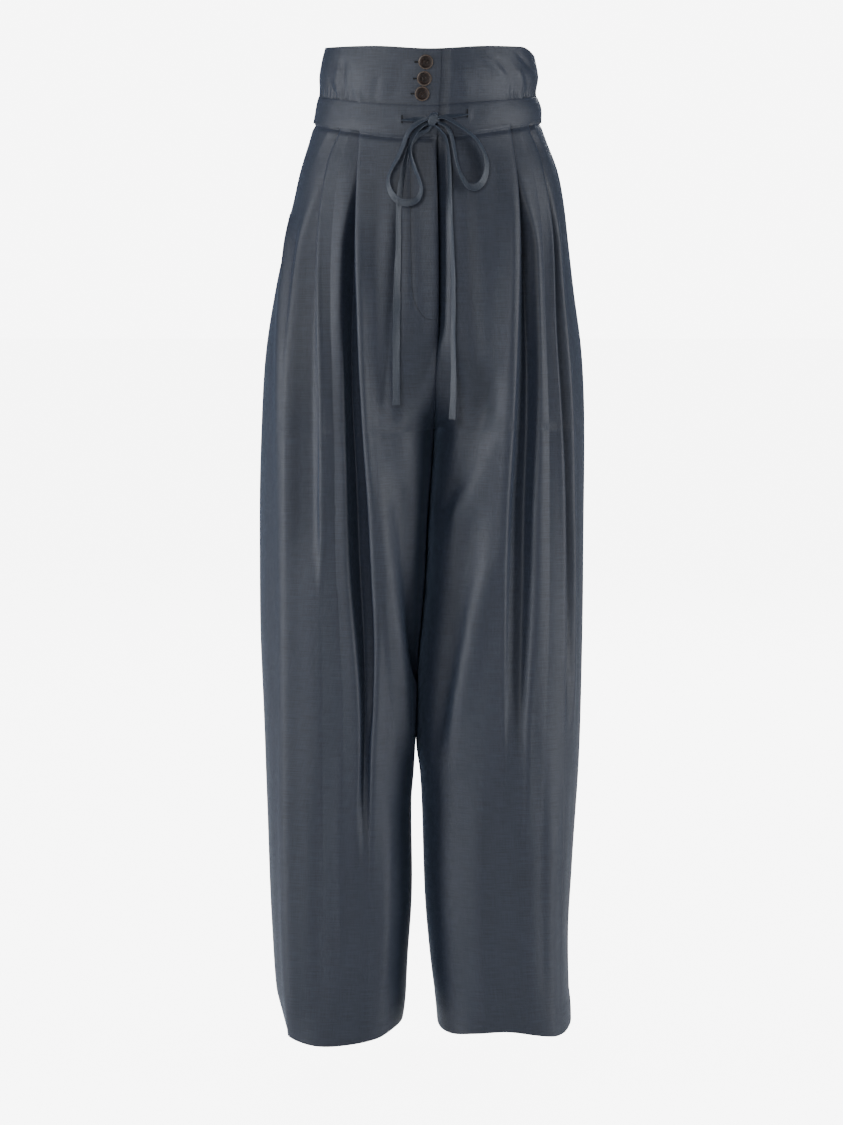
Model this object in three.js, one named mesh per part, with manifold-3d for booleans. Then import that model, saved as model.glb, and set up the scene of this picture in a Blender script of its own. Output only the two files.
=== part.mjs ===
// Wide-leg pants with a buttoned corselet waist, a tied casing and pleated fronts.
// Millimetres. +X is the viewer's right, the front faces -Y, +Z is up.
// The origin is the middle of the waist, at the height of the tie.

import * as THREE from "three";
import { mergeVertices } from "three/addons/utils/BufferGeometryUtils.js";
import Module from "manifold-3d";

const wasm = await Module();
wasm.setup();

// Driving dimensions

const LEG_WALL = 1.2;
const CORSELET_WALL = 1.6;
const CASING_WALL = 1.8;
const SEAM_GAP = 0.3;

// Half widths, as places on X, and depths, as places on Y, of the garment at each height.
const FORM = [
  { z: 84, left: -117, right: 114.5, front: -90, back: 86 },
  { z: 66, left: -120.5, right: 117.5, front: -92, back: 87 },
  { z: 48, left: -123, right: 120, front: -93, back: 88 },
  { z: 30, left: -123.5, right: 118, front: -92.5, back: 88 },
  { z: 14, left: -126, right: 122.5, front: -94, back: 90 },
  { z: -3, left: -130, right: 124, front: -96, back: 92 },
  { z: -21, left: -135, right: 130, front: -98, back: 95 },
  { z: -55, left: -145.5, right: 143, front: -105, back: 103 },
  { z: -90, left: -153.5, right: 150, front: -110, back: 112 },
  { z: -140, left: -164, right: 156, front: -114, back: 122 },
  { z: -190, left: -174.5, right: 162, front: -118, back: 129 },
  { z: -257, left: -185, right: 171, front: -120, back: 131 },
  { z: -325, left: -190, right: 174.5, front: -120, back: 126 },
  { z: -430, left: -193, right: 174.5, front: -118, back: 117 },
  { z: -570, left: -193, right: 173.5, front: -114, back: 109 },
  { z: -705, left: -188.5, right: 171, front: -110, back: 104 },
  { z: -845, left: -184.5, right: 163, front: -105, back: 99 },
  { z: -917, left: -181.5, right: 159, front: -103, back: 97 },
  { z: -988, left: -177, right: 160, front: -101, back: 95 },
  { z: -1012, left: -171, right: 162, front: -100, back: 94 },
  { z: -1040, left: -164, right: 162.5, front: -99, back: 94 },
];

// Roundness of the plan: 2 is an ellipse, more is squarer. Outer is the corner by the side seam,
// right and left are the inner corners of the two legs.
const ROUNDNESS = [
  { z: 0, outer: 2, right: 2, left: 2 },
  { z: -90, outer: 2.1, right: 2.1, left: 2.1 },
  { z: -200, outer: 2.3, right: 2.3, left: 2.2 },
  { z: -330, outer: 2.5, right: 3.4, left: 2.6 },
  { z: -500, outer: 2.6, right: 3.6, left: 2.7 },
  { z: -650, outer: 2.7, right: 3, left: 2.6 },
  { z: -800, outer: 2.8, right: 2.7, left: 2.6 },
  { z: -1040, outer: 3.1, right: 2.8, left: 2.7 },
];

// Centre front line, seen from the front, from the top edge to the crotch.
const CENTRE_FRONT = [
  { z: 80, x: 12 }, { z: 42, x: 10.9 }, { z: 9, x: 8.7 }, { z: -31, x: 6.5 }, { z: -86, x: 7.7 },
  { z: -140, x: 8.8 }, { z: -217, x: 8.8 }, { z: -245, x: 7.7 }, { z: -345, x: 4 },
];
const CENTRE_BACK = [{ z: 80, x: -2 }, { z: -200, x: -1 }, { z: -345, x: 4 }];

// The fall of each leg inside, below the crotch.
const INNER_EDGE = [
  { z: -345, right: 3.2, left: 4.8 }, { z: -394, right: 0.3, left: 1.8 },
  { z: -439, right: -3.1, left: -1.6 }, { z: -528, right: -7.6, left: -6.1 },
  { z: -601, right: -13.9, left: -12.4 }, { z: -660, right: -15.9, left: -14.3 },
  { z: -706, right: -17.3, left: -15.4 }, { z: -741, right: -18.8, left: -11.4 },
  { z: -776, right: -21.5, left: -9.2 }, { z: -881, right: -21, left: -5.8 },
  { z: -952, right: -25.5, left: 0 }, { z: -1011, right: -29, left: 7 },
  { z: -1040, right: -34, left: 9.5 },
];

const CROTCH = { z: -345, y: 2, frontStart: -238, backStart: -205, roundness: 2.4, turn: 30 };
const WAIST_CENTRE_X = -2;
const LEG_CENTRE = { right: -96, left: 86 };
// How many steps the plan of a leg takes along its inner and its outer arc.
const PLAN_STEPS = { inner: 16, outer: 28 };
// Over the crotch the inner arc is matched to the leg below at this share of its width,
// with a roundness no flatter than the limit.
const INNER_MATCH = { share: 0.25, flattest: 1.12, halvings: 20 };

// How far the front and back apex has moved from the centre towards the middle of the leg,
// and how deep the centre front lies behind it.
const APEX = [
  { z: -10, share: 0, dip: 0.4 }, { z: -60, share: 0.1, dip: 1.5 },
  { z: -120, share: 0.3, dip: 4 }, { z: -180, share: 0.55, dip: 7 },
  { z: -238, share: 0.8, dip: 12 }, { z: -330, share: 1, dip: 20 },
];
// The left front's apex stays this far from its centre edge, so that its arc has a start.
const APEX_CLEAR = 1;

// Top edge, the two seams of the casing, and the hems, as heights along X.
const TOP_EDGE = [
  { x: -120, z: 80 }, { x: -60, z: 80.5 }, { x: 0, z: 77.5 }, { x: 60, z: 80.5 }, { x: 116, z: 80.5 },
];
const CASING_TOP = [
  { x: -124, z: 26.5 }, { x: -66, z: 20 }, { x: 0, z: 17.5 }, { x: 54, z: 21 }, { x: 120, z: 26.5 },
];
const CASING_BOTTOM = [
  { x: -130, z: -2.5 }, { x: -76, z: -10.5 }, { x: -40, z: -15 }, { x: 12, z: -15 },
  { x: 60, z: -9.5 }, { x: 126, z: 0 },
];
const BACK_CASING = { top: 27, bottom: -2, dip: 3, halfWidth: 130 };
const BACK_TOP = 79.5;
// The top edge falls away at the wearer's left side, where the corner has sunk.
const TOP_CORNER = { start: 100, end: 118, drop: 14 };
const HEM = [
  { x: -172, z: -1027 }, { x: -150, z: -1034 }, { x: -113, z: -1037 }, { x: -60, z: -1031 },
  { x: -34, z: -1020 }, { x: 10, z: -1014 }, { x: 26, z: -1021 }, { x: 90, z: -1029 },
  { x: 135, z: -1038 }, { x: 152, z: -1039 }, { x: 162, z: -1032 },
];

// Front pleats. x is the folded edge, open runs from 0 (pressed flat) to 1 (a free fold),
// crest and valley are its height and depth, lip is how far off the next ridge stands and
// throat is where the valley's bottom lies on the way to it.
const PLEATS = {
  right: [
    { throat: 0.5, rows: [
      { z: -12, x: -74.6, open: 0, crest: 1, valley: 0, lip: 8 },
      { z: -40, x: -76.5, open: 0.3, crest: 3, valley: 6, lip: 12 },
      { z: -66, x: -78, open: 0.5, crest: 4, valley: 9, lip: 15 },
      { z: -133, x: -80, open: 1, crest: 6, valley: 14, lip: 18 },
      { z: -200, x: -79, open: 1, crest: 7, valley: 16, lip: 20 },
      { z: -267, x: -77, open: 1, crest: 7, valley: 16, lip: 20 },
      { z: -328, x: -74, open: 1, crest: 7, valley: 16, lip: 22 },
      { z: -416, x: -68, open: 1, crest: 7, valley: 17, lip: 26 },
      { z: -497, x: -64, open: 1, crest: 6, valley: 17, lip: 28 },
      { z: -572, x: -61, open: 1, crest: 6, valley: 15, lip: 25 },
      { z: -641, x: -62, open: 1, crest: 5, valley: 11, lip: 19 },
      { z: -709, x: -65, open: 1, crest: 4, valley: 6, lip: 16 },
      { z: -800, x: -66, open: 1, crest: 1.5, valley: 1.5, lip: 20 },
      { z: -900, x: -66, open: 1, crest: 0, valley: 0, lip: 22 },
      { z: -1040, x: -66, open: 1, crest: 0, valley: 0, lip: 22 },
    ] },
    { throat: 0.32, rows: [
      { z: -12, x: -97.7, open: 0, crest: 1, valley: 0, lip: 12 },
      { z: -40, x: -109.5, open: 0.3, crest: 3, valley: 4, lip: 18 },
      { z: -81, x: -117.5, open: 0.6, crest: 5, valley: 8, lip: 26 },
      { z: -133, x: -122, open: 1, crest: 5, valley: 9, lip: 33 },
      { z: -200, x: -123, open: 1, crest: 5, valley: 9, lip: 38 },
      { z: -328, x: -121, open: 1, crest: 4, valley: 8, lip: 40 },
      { z: -439, x: -120, open: 1, crest: 2.5, valley: 5, lip: 40 },
      { z: -520, x: -120, open: 1, crest: 0, valley: 0, lip: 40 },
      { z: -1040, x: -118, open: 1, crest: 0, valley: 0, lip: 36 },
    ] },
  ],
  left: [
    { throat: 0.66, rows: [
      { z: -12, x: 86, open: 0, crest: 1, valley: 0, lip: 8 },
      { z: -40, x: 89.8, open: 0.3, crest: 3, valley: 5, lip: 12 },
      { z: -77, x: 93, open: 0.6, crest: 5, valley: 10, lip: 20 },
      { z: -133, x: 94.4, open: 1, crest: 5, valley: 14, lip: 27 },
      { z: -222, x: 92.4, open: 1, crest: 5, valley: 16, lip: 30 },
      { z: -328, x: 88, open: 1, crest: 4, valley: 16, lip: 33 },
      { z: -431, x: 82, open: 1, crest: 3, valley: 16, lip: 36 },
      { z: -497, x: 80, open: 1, crest: 1.5, valley: 14, lip: 37 },
      { z: -562, x: 79, open: 1, crest: 0.5, valley: 12, lip: 36 },
      { z: -629, x: 79, open: 1, crest: 0, valley: 8, lip: 33 },
      { z: -700, x: 79, open: 1, crest: 0, valley: 2, lip: 30 },
      { z: -800, x: 79, open: 1, crest: 0, valley: 0, lip: 30 },
      { z: -1040, x: 79, open: 1, crest: 0, valley: 0, lip: 30 },
    ] },
    { throat: 0.4, rows: [
      { z: -12, x: 108.4, open: 0, crest: 1, valley: 0, lip: 9 },
      { z: -32, x: 117.5, open: 0.25, crest: 3, valley: 4, lip: 14 },
      { z: -54, x: 123, open: 0.4, crest: 4, valley: 6, lip: 16 },
      { z: -88, x: 128.8, open: 0.7, crest: 5, valley: 8, lip: 18 },
      { z: -133, x: 132.4, open: 1, crest: 6, valley: 9, lip: 20 },
      { z: -222, x: 135, open: 1, crest: 6, valley: 9, lip: 24 },
      { z: -328, x: 142, open: 1, crest: 6, valley: 9, lip: 24 },
      { z: -433, x: 147, open: 1, crest: 5, valley: 8, lip: 22 },
      { z: -583, x: 150, open: 1, crest: 3, valley: 4, lip: 20 },
      { z: -700, x: 150, open: 1, crest: 0, valley: 0, lip: 20 },
      { z: -1040, x: 146, open: 1, crest: 0, valley: 0, lip: 20 },
    ] },
  ],
};
const PLEAT = {
  overlap: 7, layerStep: 2.1, turn: 0.9, lipHeight: 1.5, lipValley: 8, roll: 1.5, stations: 10,
};
// Room that a front leg leaves about its two pleats, as lengths and as shares of what is free.
const PLEAT_ROOM = {
  lipShare: 0.75, afterShare: 0.45, betweenShare: 0.98,
  before: 22, beforeShare: 0.4, after: 8, afterSeamShare: 0.7,
};

// Soft folds: each follows its path down a panel and fades at both ends, at the panel's edges
// over edgeFade, and not at the hem where its path ends below hemReach.
const FOLD = { edgeFade: 14, hemReach: -1000 };
const FOLDS = [
  { side: "right", face: "front", width: 13, height: 5, fade: 60,
    path: [{ z: -110, x: -156 }, { z: -222, x: -165 }, { z: -528, x: -161 }, { z: -900, x: -161 },
      { z: -1040, x: -156 }] },
  { side: "right", face: "front", width: 15, height: 6, fade: 80,
    path: [{ z: -400, x: -54 }, { z: -486, x: -47 }, { z: -615, x: -33 }, { z: -711, x: -24 }] },
  { side: "right", face: "front", width: 17, height: -7, fade: 90,
    path: [{ z: -400, x: -34 }, { z: -500, x: -26 }, { z: -640, x: -14 }] },
  { side: "left", face: "front", width: 16, height: -8, fade: 80,
    path: [{ z: -290, x: 66 }, { z: -361, x: 44 }, { z: -433, x: 14 }] },
  { side: "left", face: "front", width: 17, height: -9, fade: 90,
    path: [{ z: -430, x: 46 }, { z: -520, x: 32 }, { z: -690, x: 10 }] },
  { side: "left", face: "front", width: 14, height: 5, fade: 80,
    path: [{ z: -480, x: 66 }, { z: -573, x: 45 }, { z: -673, x: 22 }] },
  { side: "right", face: "back", width: 20, height: 7, fade: 120,
    path: [{ z: -250, x: -118 }, { z: -600, x: -112 }, { z: -1040, x: -104 }] },
  { side: "right", face: "back", width: 18, height: -8, fade: 110,
    path: [{ z: -330, x: -70 }, { z: -600, x: -60 }, { z: -900, x: -52 }] },
  { side: "left", face: "back", width: 20, height: 7, fade: 120,
    path: [{ z: -260, x: 104 }, { z: -600, x: 108 }, { z: -1040, x: 100 }] },
  { side: "left", face: "back", width: 18, height: -8, fade: 110,
    path: [{ z: -340, x: 62 }, { z: -620, x: 56 }, { z: -900, x: 58 }] },
];

// The fly: the wearer's right edge stands proud over the left one, which turns in.
// Under the casing the edges start at a share of their full height.
const FLY = {
  top: -15, end: -217, fade: 45, startShare: 0.45, startFade: 30,
  proud: 3.5, proudWidth: 22, turnIn: 8, turnWidth: 15,
};
const SHIELD_LEVELS = [-15.6, -30, -45, -75, -110, -135, -160, -185, -211];
const SHIELD = { reach: 30, tuck: 10 };

const OVERLAP = { reach: 28, cover: 3, ramp: 9, clear: 0.5 };
const WAIST_COLUMNS = { front_right: 14, front_left: 17, back: 20 };
const WAIST_ROWS = { corselet: 3, casing: 2 };

const BUTTON = {
  radius: 8.2, thickness: 3.2, hole: 0.85, spread: 1.8, lift: 0.5,
  backBevel: 0.9, rimBevel: 0.7, rimDrop: 1, rimWidth: 2, dishStart: 2.7, dish: 1.1, dishMiddle: 1.3,
  sides: 16, holeSides: 6,
};
const BUTTON_PLACES = [{ x: -5, z: 64.5 }, { x: -6.6, z: 46.5 }, { x: -9, z: 30 }];

// The tape is thinner at its edges than in its middle, by edgeShare.
const TAPE = {
  width: 8, thickness: 1.3, edgeShare: 0.7, pace: { ribbon: 8, loop: 12, tail: 18 },
};
// Near the knot the tape is gathered to a share of its width.
const PINCH = { share: 0.5, reach: 18 };
const SLIT = { width: 1.8, height: 9.5, y: -90, depth: 40 };
const SLIT_PLACES = { right: { x: -31, z: 2.4 }, left: { x: 40.5, z: 8.6 } };

// Route of each end of the tie: out of its slit, to the knot, round the loop, and down the tail.
const RIBBON_RIGHT = [
  [-31, -95.7, 2.4], [-22.9, -98, 2.3], [-13.5, -99.6, 2.5], [-3.9, -101.9, 3.4],
];
const RIBBON_LEFT = [
  [40.5, -92, 8.6], [31.2, -95.5, 7.1], [20.3, -97.9, 5.6], [9.2, -101.9, 4.6],
];
const LOOP_RIGHT = [
  [-3.1, -105.8, 2.9], [-7.2, -105.5, 1.1], [-13, -105.4, -1.5], [-20.2, -105.8, -6.9],
  [-25.4, -106.6, -14.5], [-30.4, -107.9, -27.4], [-36.3, -109, -40.1], [-42.7, -109.8, -51.4],
  [-46.2, -110.7, -61.5], [-45.5, -112.1, -71.5], [-40.3, -113.8, -81.2], [-31.6, -115.1, -87.7],
  [-21.4, -115.7, -88.2], [-13.3, -115.4, -83.6], [-10, -114.5, -73.6], [-12, -113.1, -63.8],
  [-16.6, -111.2, -53], [-20.5, -109, -42.1], [-22.7, -107.3, -31.3], [-21.2, -106.4, -21.3],
  [-17, -105.9, -12.8], [-11.3, -105.6, -6.9], [-3.3, -104.2, -2.1],
];
const LOOP_LEFT = [
  [8.1, -105.5, 3.7], [12.8, -103.9, 4.4], [18.2, -103, 3.1], [27, -102.5, -1.7],
  [39.4, -101.8, -10], [50.3, -100.9, -19], [56.5, -100.8, -28], [60.9, -102, -38.9],
  [62.1, -104.2, -49.8], [60.1, -106.8, -59.6], [55.5, -109.2, -67.6], [48.9, -110.9, -71.9],
  [41.9, -111.6, -70.2], [36.4, -111.3, -63.6], [32, -110.3, -54.6], [28.7, -108.7, -43.7],
  [26.8, -106.8, -32.9], [24.8, -104.9, -21.5], [21.8, -103.5, -11.7], [16.7, -103.4, -4.5],
  [8.5, -103.9, -1.2],
];
const TAIL_RIGHT = [
  [0.4, -103.3, -5.2], [-3.7, -102.3, -10], [-10.8, -101.8, -13.4], [-17.9, -102.2, -19.7],
  [-23, -103.5, -28.7], [-26.5, -105.4, -40.5], [-29.5, -107.8, -53.6], [-32.2, -110.2, -68.2],
  [-34.1, -112.6, -85.6], [-35, -114.8, -101.9], [-35.2, -118.1, -140], [-36.3, -121.1, -175],
  [-37, -122.7, -215], [-37.5, -122.7, -255], [-37.5, -122.8, -310],
];
const TAIL_LEFT = [
  [5.3, -103.7, -5], [11, -102.2, -10], [15.2, -101.6, -15.4], [18.3, -102.4, -23.2],
  [19.8, -104.4, -33.5], [20.7, -107.2, -49.4], [21, -110.2, -67.1], [21.3, -112.8, -85.6],
  [22, -114.9, -101.9], [24.2, -118.3, -145], [25.3, -120.7, -190], [25.3, -120.9, -240],
  [25.4, -121, -283], [24.3, -121, -326],
];
const KNOT = {
  x: 2.7, y: -102.3, z: 1.9, width: 12, height: 13, depth: 10, sides: 16, rings: 10,
};

// Materials, as the photo shows them

const CLOTH = new THREE.MeshStandardMaterial({ color: 0x48505c, roughness: 0.62, metalness: 0 });
const HORN = new THREE.MeshStandardMaterial({ color: 0x33241d, roughness: 0.35, metalness: 0 });

// Reading the tables

// The value of one column at a place, smooth through the rows. "along" names the sorted column.
function at(rows, along, column, place) {
  const falling = rows[0][along] > rows[rows.length - 1][along];
  const sorted = falling ? [...rows].reverse() : rows;
  const last = sorted.length - 1;
  if (place <= sorted[0][along]) return sorted[0][column];
  if (place >= sorted[last][along]) return sorted[last][column];
  let i = 0;
  while (sorted[i + 1][along] < place) i += 1;
  const slope = (k) => {
    const a = sorted[Math.max(k - 1, 0)];
    const b = sorted[Math.min(k + 1, last)];
    return (b[column] - a[column]) / (b[along] - a[along]);
  };
  const step = sorted[i + 1][along] - sorted[i][along];
  const t = (place - sorted[i][along]) / step;
  const t2 = t * t;
  const t3 = t2 * t;
  return (2 * t3 - 3 * t2 + 1) * sorted[i][column] + (t3 - 2 * t2 + t) * step * slope(i)
    + (3 * t2 - 2 * t3) * sorted[i + 1][column] + (t3 - t2) * step * slope(i + 1);
}

const smoothStep = (t) => {
  const c = Math.min(Math.max(t, 0), 1);
  return c * c * (3 - 2 * c);
};

// Plan of the garment

const sign = (side) => (side === "right" ? -1 : 1);

// The point of a quarter arc between two corners; share runs from the first to the second.
function quarterArc(from, to, share, roundness) {
  const angle = share * Math.PI / 2;
  const along = Math.sin(angle) ** (2 / roundness);
  const across = Math.cos(angle) ** (2 / roundness);
  return [to[0] + (from[0] - to[0]) * across, from[1] + (to[1] - from[1]) * along];
}

function centreEdge(side, face, z) {
  const apexY = at(FORM, "z", face, z);
  if (z < CROTCH.z) return [at(INNER_EDGE, "z", side, z), CROTCH.y];
  const line = face === "front" ? CENTRE_FRONT : CENTRE_BACK;
  const start = face === "front" ? CROTCH.frontStart : CROTCH.backStart;
  const turned = smoothStep((start + CROTCH.turn - z) / CROTCH.turn);
  const x = at(line, "z", "x", z) + sign(side) * (SEAM_GAP + LEG_WALL * turned) / 2;
  const outward = Math.sign(apexY);
  const edgeY = apexY - outward * at(APEX, "z", "dip", z);
  if (z > start) return [x, edgeY];
  const rise = (z - CROTCH.z) / (start - CROTCH.z);
  const fill = (1 - (1 - rise) ** CROTCH.roundness) ** (1 / CROTCH.roundness);
  return [x, CROTCH.y + (edgeY - CROTCH.y) * fill];
}

function apex(side, face, z) {
  const edge = centreEdge(side, face, z);
  const share = at(APEX, "z", "share", z);
  const start = side === "right" || face === "back" ? WAIST_CENTRE_X : edge[0] + APEX_CLEAR;
  return [start + (LEG_CENTRE[side] - start) * share, at(FORM, "z", face, z)];
}

// The roundness of the inner arc. Over the crotch it flattens, so that the panel passes a
// quarter of the way out where the leg below it does.
function innerRoundness(side, face, z, edge, top) {
  const round = at(ROUNDNESS, "z", side, z);
  const start = face === "front" ? CROTCH.frontStart : CROTCH.backStart;
  if (z <= CROTCH.z || z >= start) return round;
  const height = (n) => (1 - (1 - INNER_MATCH.share) ** n) ** (1 / n);
  const legY = CROTCH.y + (top[1] - CROTCH.y) * height(round);
  const bodyY = edge[1] + (top[1] - edge[1]) * height(round);
  const rise = (z - CROTCH.z) / (start - CROTCH.z);
  const wanted = (legY + (bodyY - legY) * smoothStep(rise) - edge[1]) / (top[1] - edge[1]);
  let low = INNER_MATCH.flattest;
  let high = round;
  for (let i = 0; i < INNER_MATCH.halvings; i += 1) {
    const middle = (low + high) / 2;
    if (height(middle) < wanted) low = middle;
    else high = middle;
  }
  return high;
}

// One leg's plan on one face, from its centre edge round to the side seam.
function legPlan(side, face, z) {
  const edge = centreEdge(side, face, z);
  const top = apex(side, face, z);
  const seam = [at(FORM, "z", side === "right" ? "left" : "right", z), 0];
  const inner = innerRoundness(side, face, z, edge, top);
  const outer = at(ROUNDNESS, "z", "outer", z);
  const points = [];
  for (let i = 0; i < PLAN_STEPS.inner; i += 1) {
    points.push(quarterArc(edge, top, i / PLAN_STEPS.inner, inner));
  }
  for (let i = 0; i <= PLAN_STEPS.outer; i += 1) {
    const share = i / PLAN_STEPS.outer;
    const [y, x] = quarterArc([top[1], top[0]], [seam[1], seam[0]], share, outer);
    points.push([x, y]);
  }
  return measured(points, sign(side) * (face === "front" ? 1 : -1));
}

// A plan with the length run so far at each point, and the hand that its outside is on.
function measured(points, hand) {
  const run = [0];
  for (let i = 1; i < points.length; i += 1) {
    const [x0, y0] = points[i - 1];
    run.push(run[i - 1] + Math.hypot(points[i][0] - x0, points[i][1] - y0));
  }
  return { points, run, hand, length: run[run.length - 1] };
}

// The place and outward direction of a plan after a length s.
function onPlan(plan, s) {
  const { points, run, hand } = plan;
  let i = 0;
  while (i < points.length - 2 && (run[i + 1] < s || run[i + 1] - run[i] < 1e-6)) i += 1;
  const t = (s - run[i]) / Math.max(run[i + 1] - run[i], 1e-6);
  const [x0, y0] = points[i];
  const [x1, y1] = points[i + 1];
  const length = Math.hypot(x1 - x0, y1 - y0);
  const normal = [hand * (y1 - y0) / length, -hand * (x1 - x0) / length];
  return { x: x0 + (x1 - x0) * t, y: y0 + (y1 - y0) * t, normal };
}

// The length along a plan at which it passes a place on X, seen from the front or back.
function lengthAtX(plan, x) {
  const { points, run } = plan;
  const toSide = Math.sign(points[points.length - 1][0] - points[0][0]);
  let i = 0;
  while (i < points.length - 2 && (points[i + 1][0] - x) * toSide < 0) i += 1;
  const span = points[i + 1][0] - points[i][0];
  const t = Math.min(Math.max((x - points[i][0]) / (Math.abs(span) < 1e-6 ? 1 : span), 0), 1);
  return run[i] + (run[i + 1] - run[i]) * t;
}

// Pleats and folds

// One pleat's profile: [along the cloth towards the side, out from it] at its ten stations.
// Pressed, they are the panel, the folded edge, the turn under it, the turn back under the panel
// and the panel again. Free, they are the ridge, its fold, the valley in three, and the next ridge.
function pleatProfile(pleat, z, before, after) {
  const row = (column) => at(pleat.rows, "z", column, z);
  const open = Math.min(Math.max(row("open"), 0), 1);
  const crest = row("crest");
  const valley = row("valley");
  const lip = row("lip");
  const throat = lip * pleat.throat;
  const half = PLEAT.overlap / 2;
  const step = PLEAT.layerStep;
  const pressed = [
    [-before, 0], [-before * 0.55, 0.2], [half, 0], [half + PLEAT.turn, -step / 2], [half, -step],
    [-half, -step], [-half - PLEAT.turn, -step * 1.5], [-half, -step * 2],
    [half + 1, -step * 2], [after, 0],
  ];
  const lipHeight = PLEAT.lipHeight * Math.min(valley / PLEAT.lipValley, 1);
  const free = [
    [-before, 0], [-before * 0.45, crest * 0.55], [-PLEAT.roll, crest], [PLEAT.roll, crest * 0.6],
    [throat * 0.35, -valley * 0.45], [throat * 0.7, -valley * 0.88], [throat, -valley],
    [throat + (lip - throat) * 0.45, -valley * 0.6], [lip, lipHeight], [after, 0],
  ];
  return pressed.map(([u, v], i) => [
    u + (free[i][0] - u) * open,
    v + (free[i][1] - v) * open,
  ]);
}

const FIELD = { inner: 4, outer: 7 };

// Stations across a front leg: even fields, with the two pleats between them.
function frontStations(side, z, plan) {
  const [first, second] = PLEATS[side];
  const crest = (pleat) => lengthAtX(plan, at(pleat.rows, "z", "x", z));
  const s1 = crest(first);
  const s2 = crest(second);
  const between = s2 - s1;
  const room = PLEAT_ROOM;
  const lip1 = Math.min(at(first.rows, "z", "lip", z), between * room.lipShare);
  const after1 = lip1 + (between - lip1) * room.afterShare;
  const before2 = (between - after1) * room.betweenShare;
  const before1 = Math.min(room.before, s1 * room.beforeShare);
  const lip2 = at(second.rows, "z", "lip", z) + room.after;
  const after2 = Math.min(lip2, (plan.length - s2) * room.afterSeamShare);
  const stations = [];
  for (let i = 0; i < FIELD.inner; i += 1) stations.push([(s1 - before1) * i / FIELD.inner, 0]);
  pleatProfile(first, z, before1, after1).forEach(([u, v]) => stations.push([s1 + u, v]));
  pleatProfile(second, z, before2, after2).forEach(([u, v]) => stations.push([s2 + u, v]));
  const rest = plan.length - s2 - after2;
  for (let i = 1; i <= FIELD.outer; i += 1) {
    stations.push([s2 + after2 + rest * i / FIELD.outer, 0]);
  }
  return stations;
}

const BACK_COLUMNS = 15;

function backStations(plan) {
  return Array.from({ length: BACK_COLUMNS + 1 }, (_, i) => [plan.length * i / BACK_COLUMNS, 0]);
}

// The height that the soft folds add at a length s, kept off the panel's edges.
function foldHeight(side, face, z, s, plan) {
  let height = 0;
  for (const fold of FOLDS) {
    if (fold.side !== side || fold.face !== face) continue;
    const { path, width, fade } = fold;
    const top = path[0].z;
    const bottom = path[path.length - 1].z;
    const ends = smoothStep((top + fade / 2 - z) / fade)
      * (bottom < FOLD.hemReach ? 1 : smoothStep((z - bottom + fade / 2) / fade));
    const away = (s - lengthAtX(plan, at(path, "z", "x", z))) / width;
    height += fold.height * ends * Math.exp(-away * away);
  }
  return height * smoothStep(s / FOLD.edgeFade) * smoothStep((plan.length - s) / FOLD.edgeFade);
}

// How far the fly's edges stand forward at a length s.
function flyHeight(side, z, s) {
  if (z < FLY.end - FLY.fade) return 0;
  const down = smoothStep((z - FLY.end + FLY.fade) / FLY.fade);
  const { startShare, startFade } = FLY;
  const upper = startShare + (1 - startShare) * smoothStep((FLY.top - z) / startFade);
  if (side === "right") return FLY.proud * down * upper * (1 - smoothStep(s / FLY.proudWidth));
  return -FLY.turnIn * down * upper * (1 - smoothStep(s / FLY.turnWidth));
}

// Solids from grids

// At a sharp turn of the wall its mitre is no longer than this many half walls.
const MITRE = { leastCosine: 0.4, longest: 1.5 };

// A cloth wall about a grid of mid-points, rows of [x, y, z] with the outside on one hand.
function clothWall(rows, wall, hand) {
  const faces = [1, -1].map((out) => rows.map((row) => row.map((p, i) => {
    const a = row[Math.max(i - 1, 0)];
    const b = row[Math.min(i + 1, row.length - 1)];
    const into = unit([p[0] - a[0], p[1] - a[1]]);
    const away = unit([b[0] - p[0], b[1] - p[1]]);
    const d1 = i === 0 ? away : into;
    const d2 = i === row.length - 1 ? into : away;
    const middle = unit([d1[0] + d2[0], d1[1] + d2[1]]);
    const cosine = Math.max(middle[0] * d1[0] + middle[1] * d1[1], MITRE.leastCosine);
    const mitre = Math.min(1 / cosine, MITRE.longest);
    const reach = out * hand * mitre * wall / 2;
    return [p[0] + middle[1] * reach, p[1] - middle[0] * reach, p[2]];
  })));
  return closedGrid(faces[0], faces[1]);
}

function unit([x, y]) {
  const length = Math.hypot(x, y) || 1;
  return [x / length, y / length];
}

// A closed solid between two grids of the same size.
function closedGrid(outer, inner) {
  const height = outer.length;
  const width = outer[0].length;
  const positions = [...outer.flat(), ...inner.flat()].flat();
  const o = (r, c) => r * width + c;
  const n = (r, c) => height * width + r * width + c;
  const index = [];
  const quad = (a, b, c, d) => index.push(a, b, c, a, c, d);
  for (let r = 0; r < height - 1; r += 1) {
    for (let c = 0; c < width - 1; c += 1) {
      quad(o(r, c), o(r + 1, c), o(r + 1, c + 1), o(r, c + 1));
      quad(n(r, c), n(r, c + 1), n(r + 1, c + 1), n(r + 1, c));
    }
    quad(o(r, 0), n(r, 0), n(r + 1, 0), o(r + 1, 0));
    quad(o(r, width - 1), o(r + 1, width - 1), n(r + 1, width - 1), n(r, width - 1));
  }
  for (let c = 0; c < width - 1; c += 1) {
    quad(o(0, c), o(0, c + 1), n(0, c + 1), n(0, c));
    quad(o(height - 1, c), n(height - 1, c), n(height - 1, c + 1), o(height - 1, c + 1));
  }
  const geometry = new THREE.BufferGeometry();
  geometry.setAttribute("position", new THREE.Float32BufferAttribute(positions, 3));
  geometry.setIndex(index);
  return facingOut(geometry);
}

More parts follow.
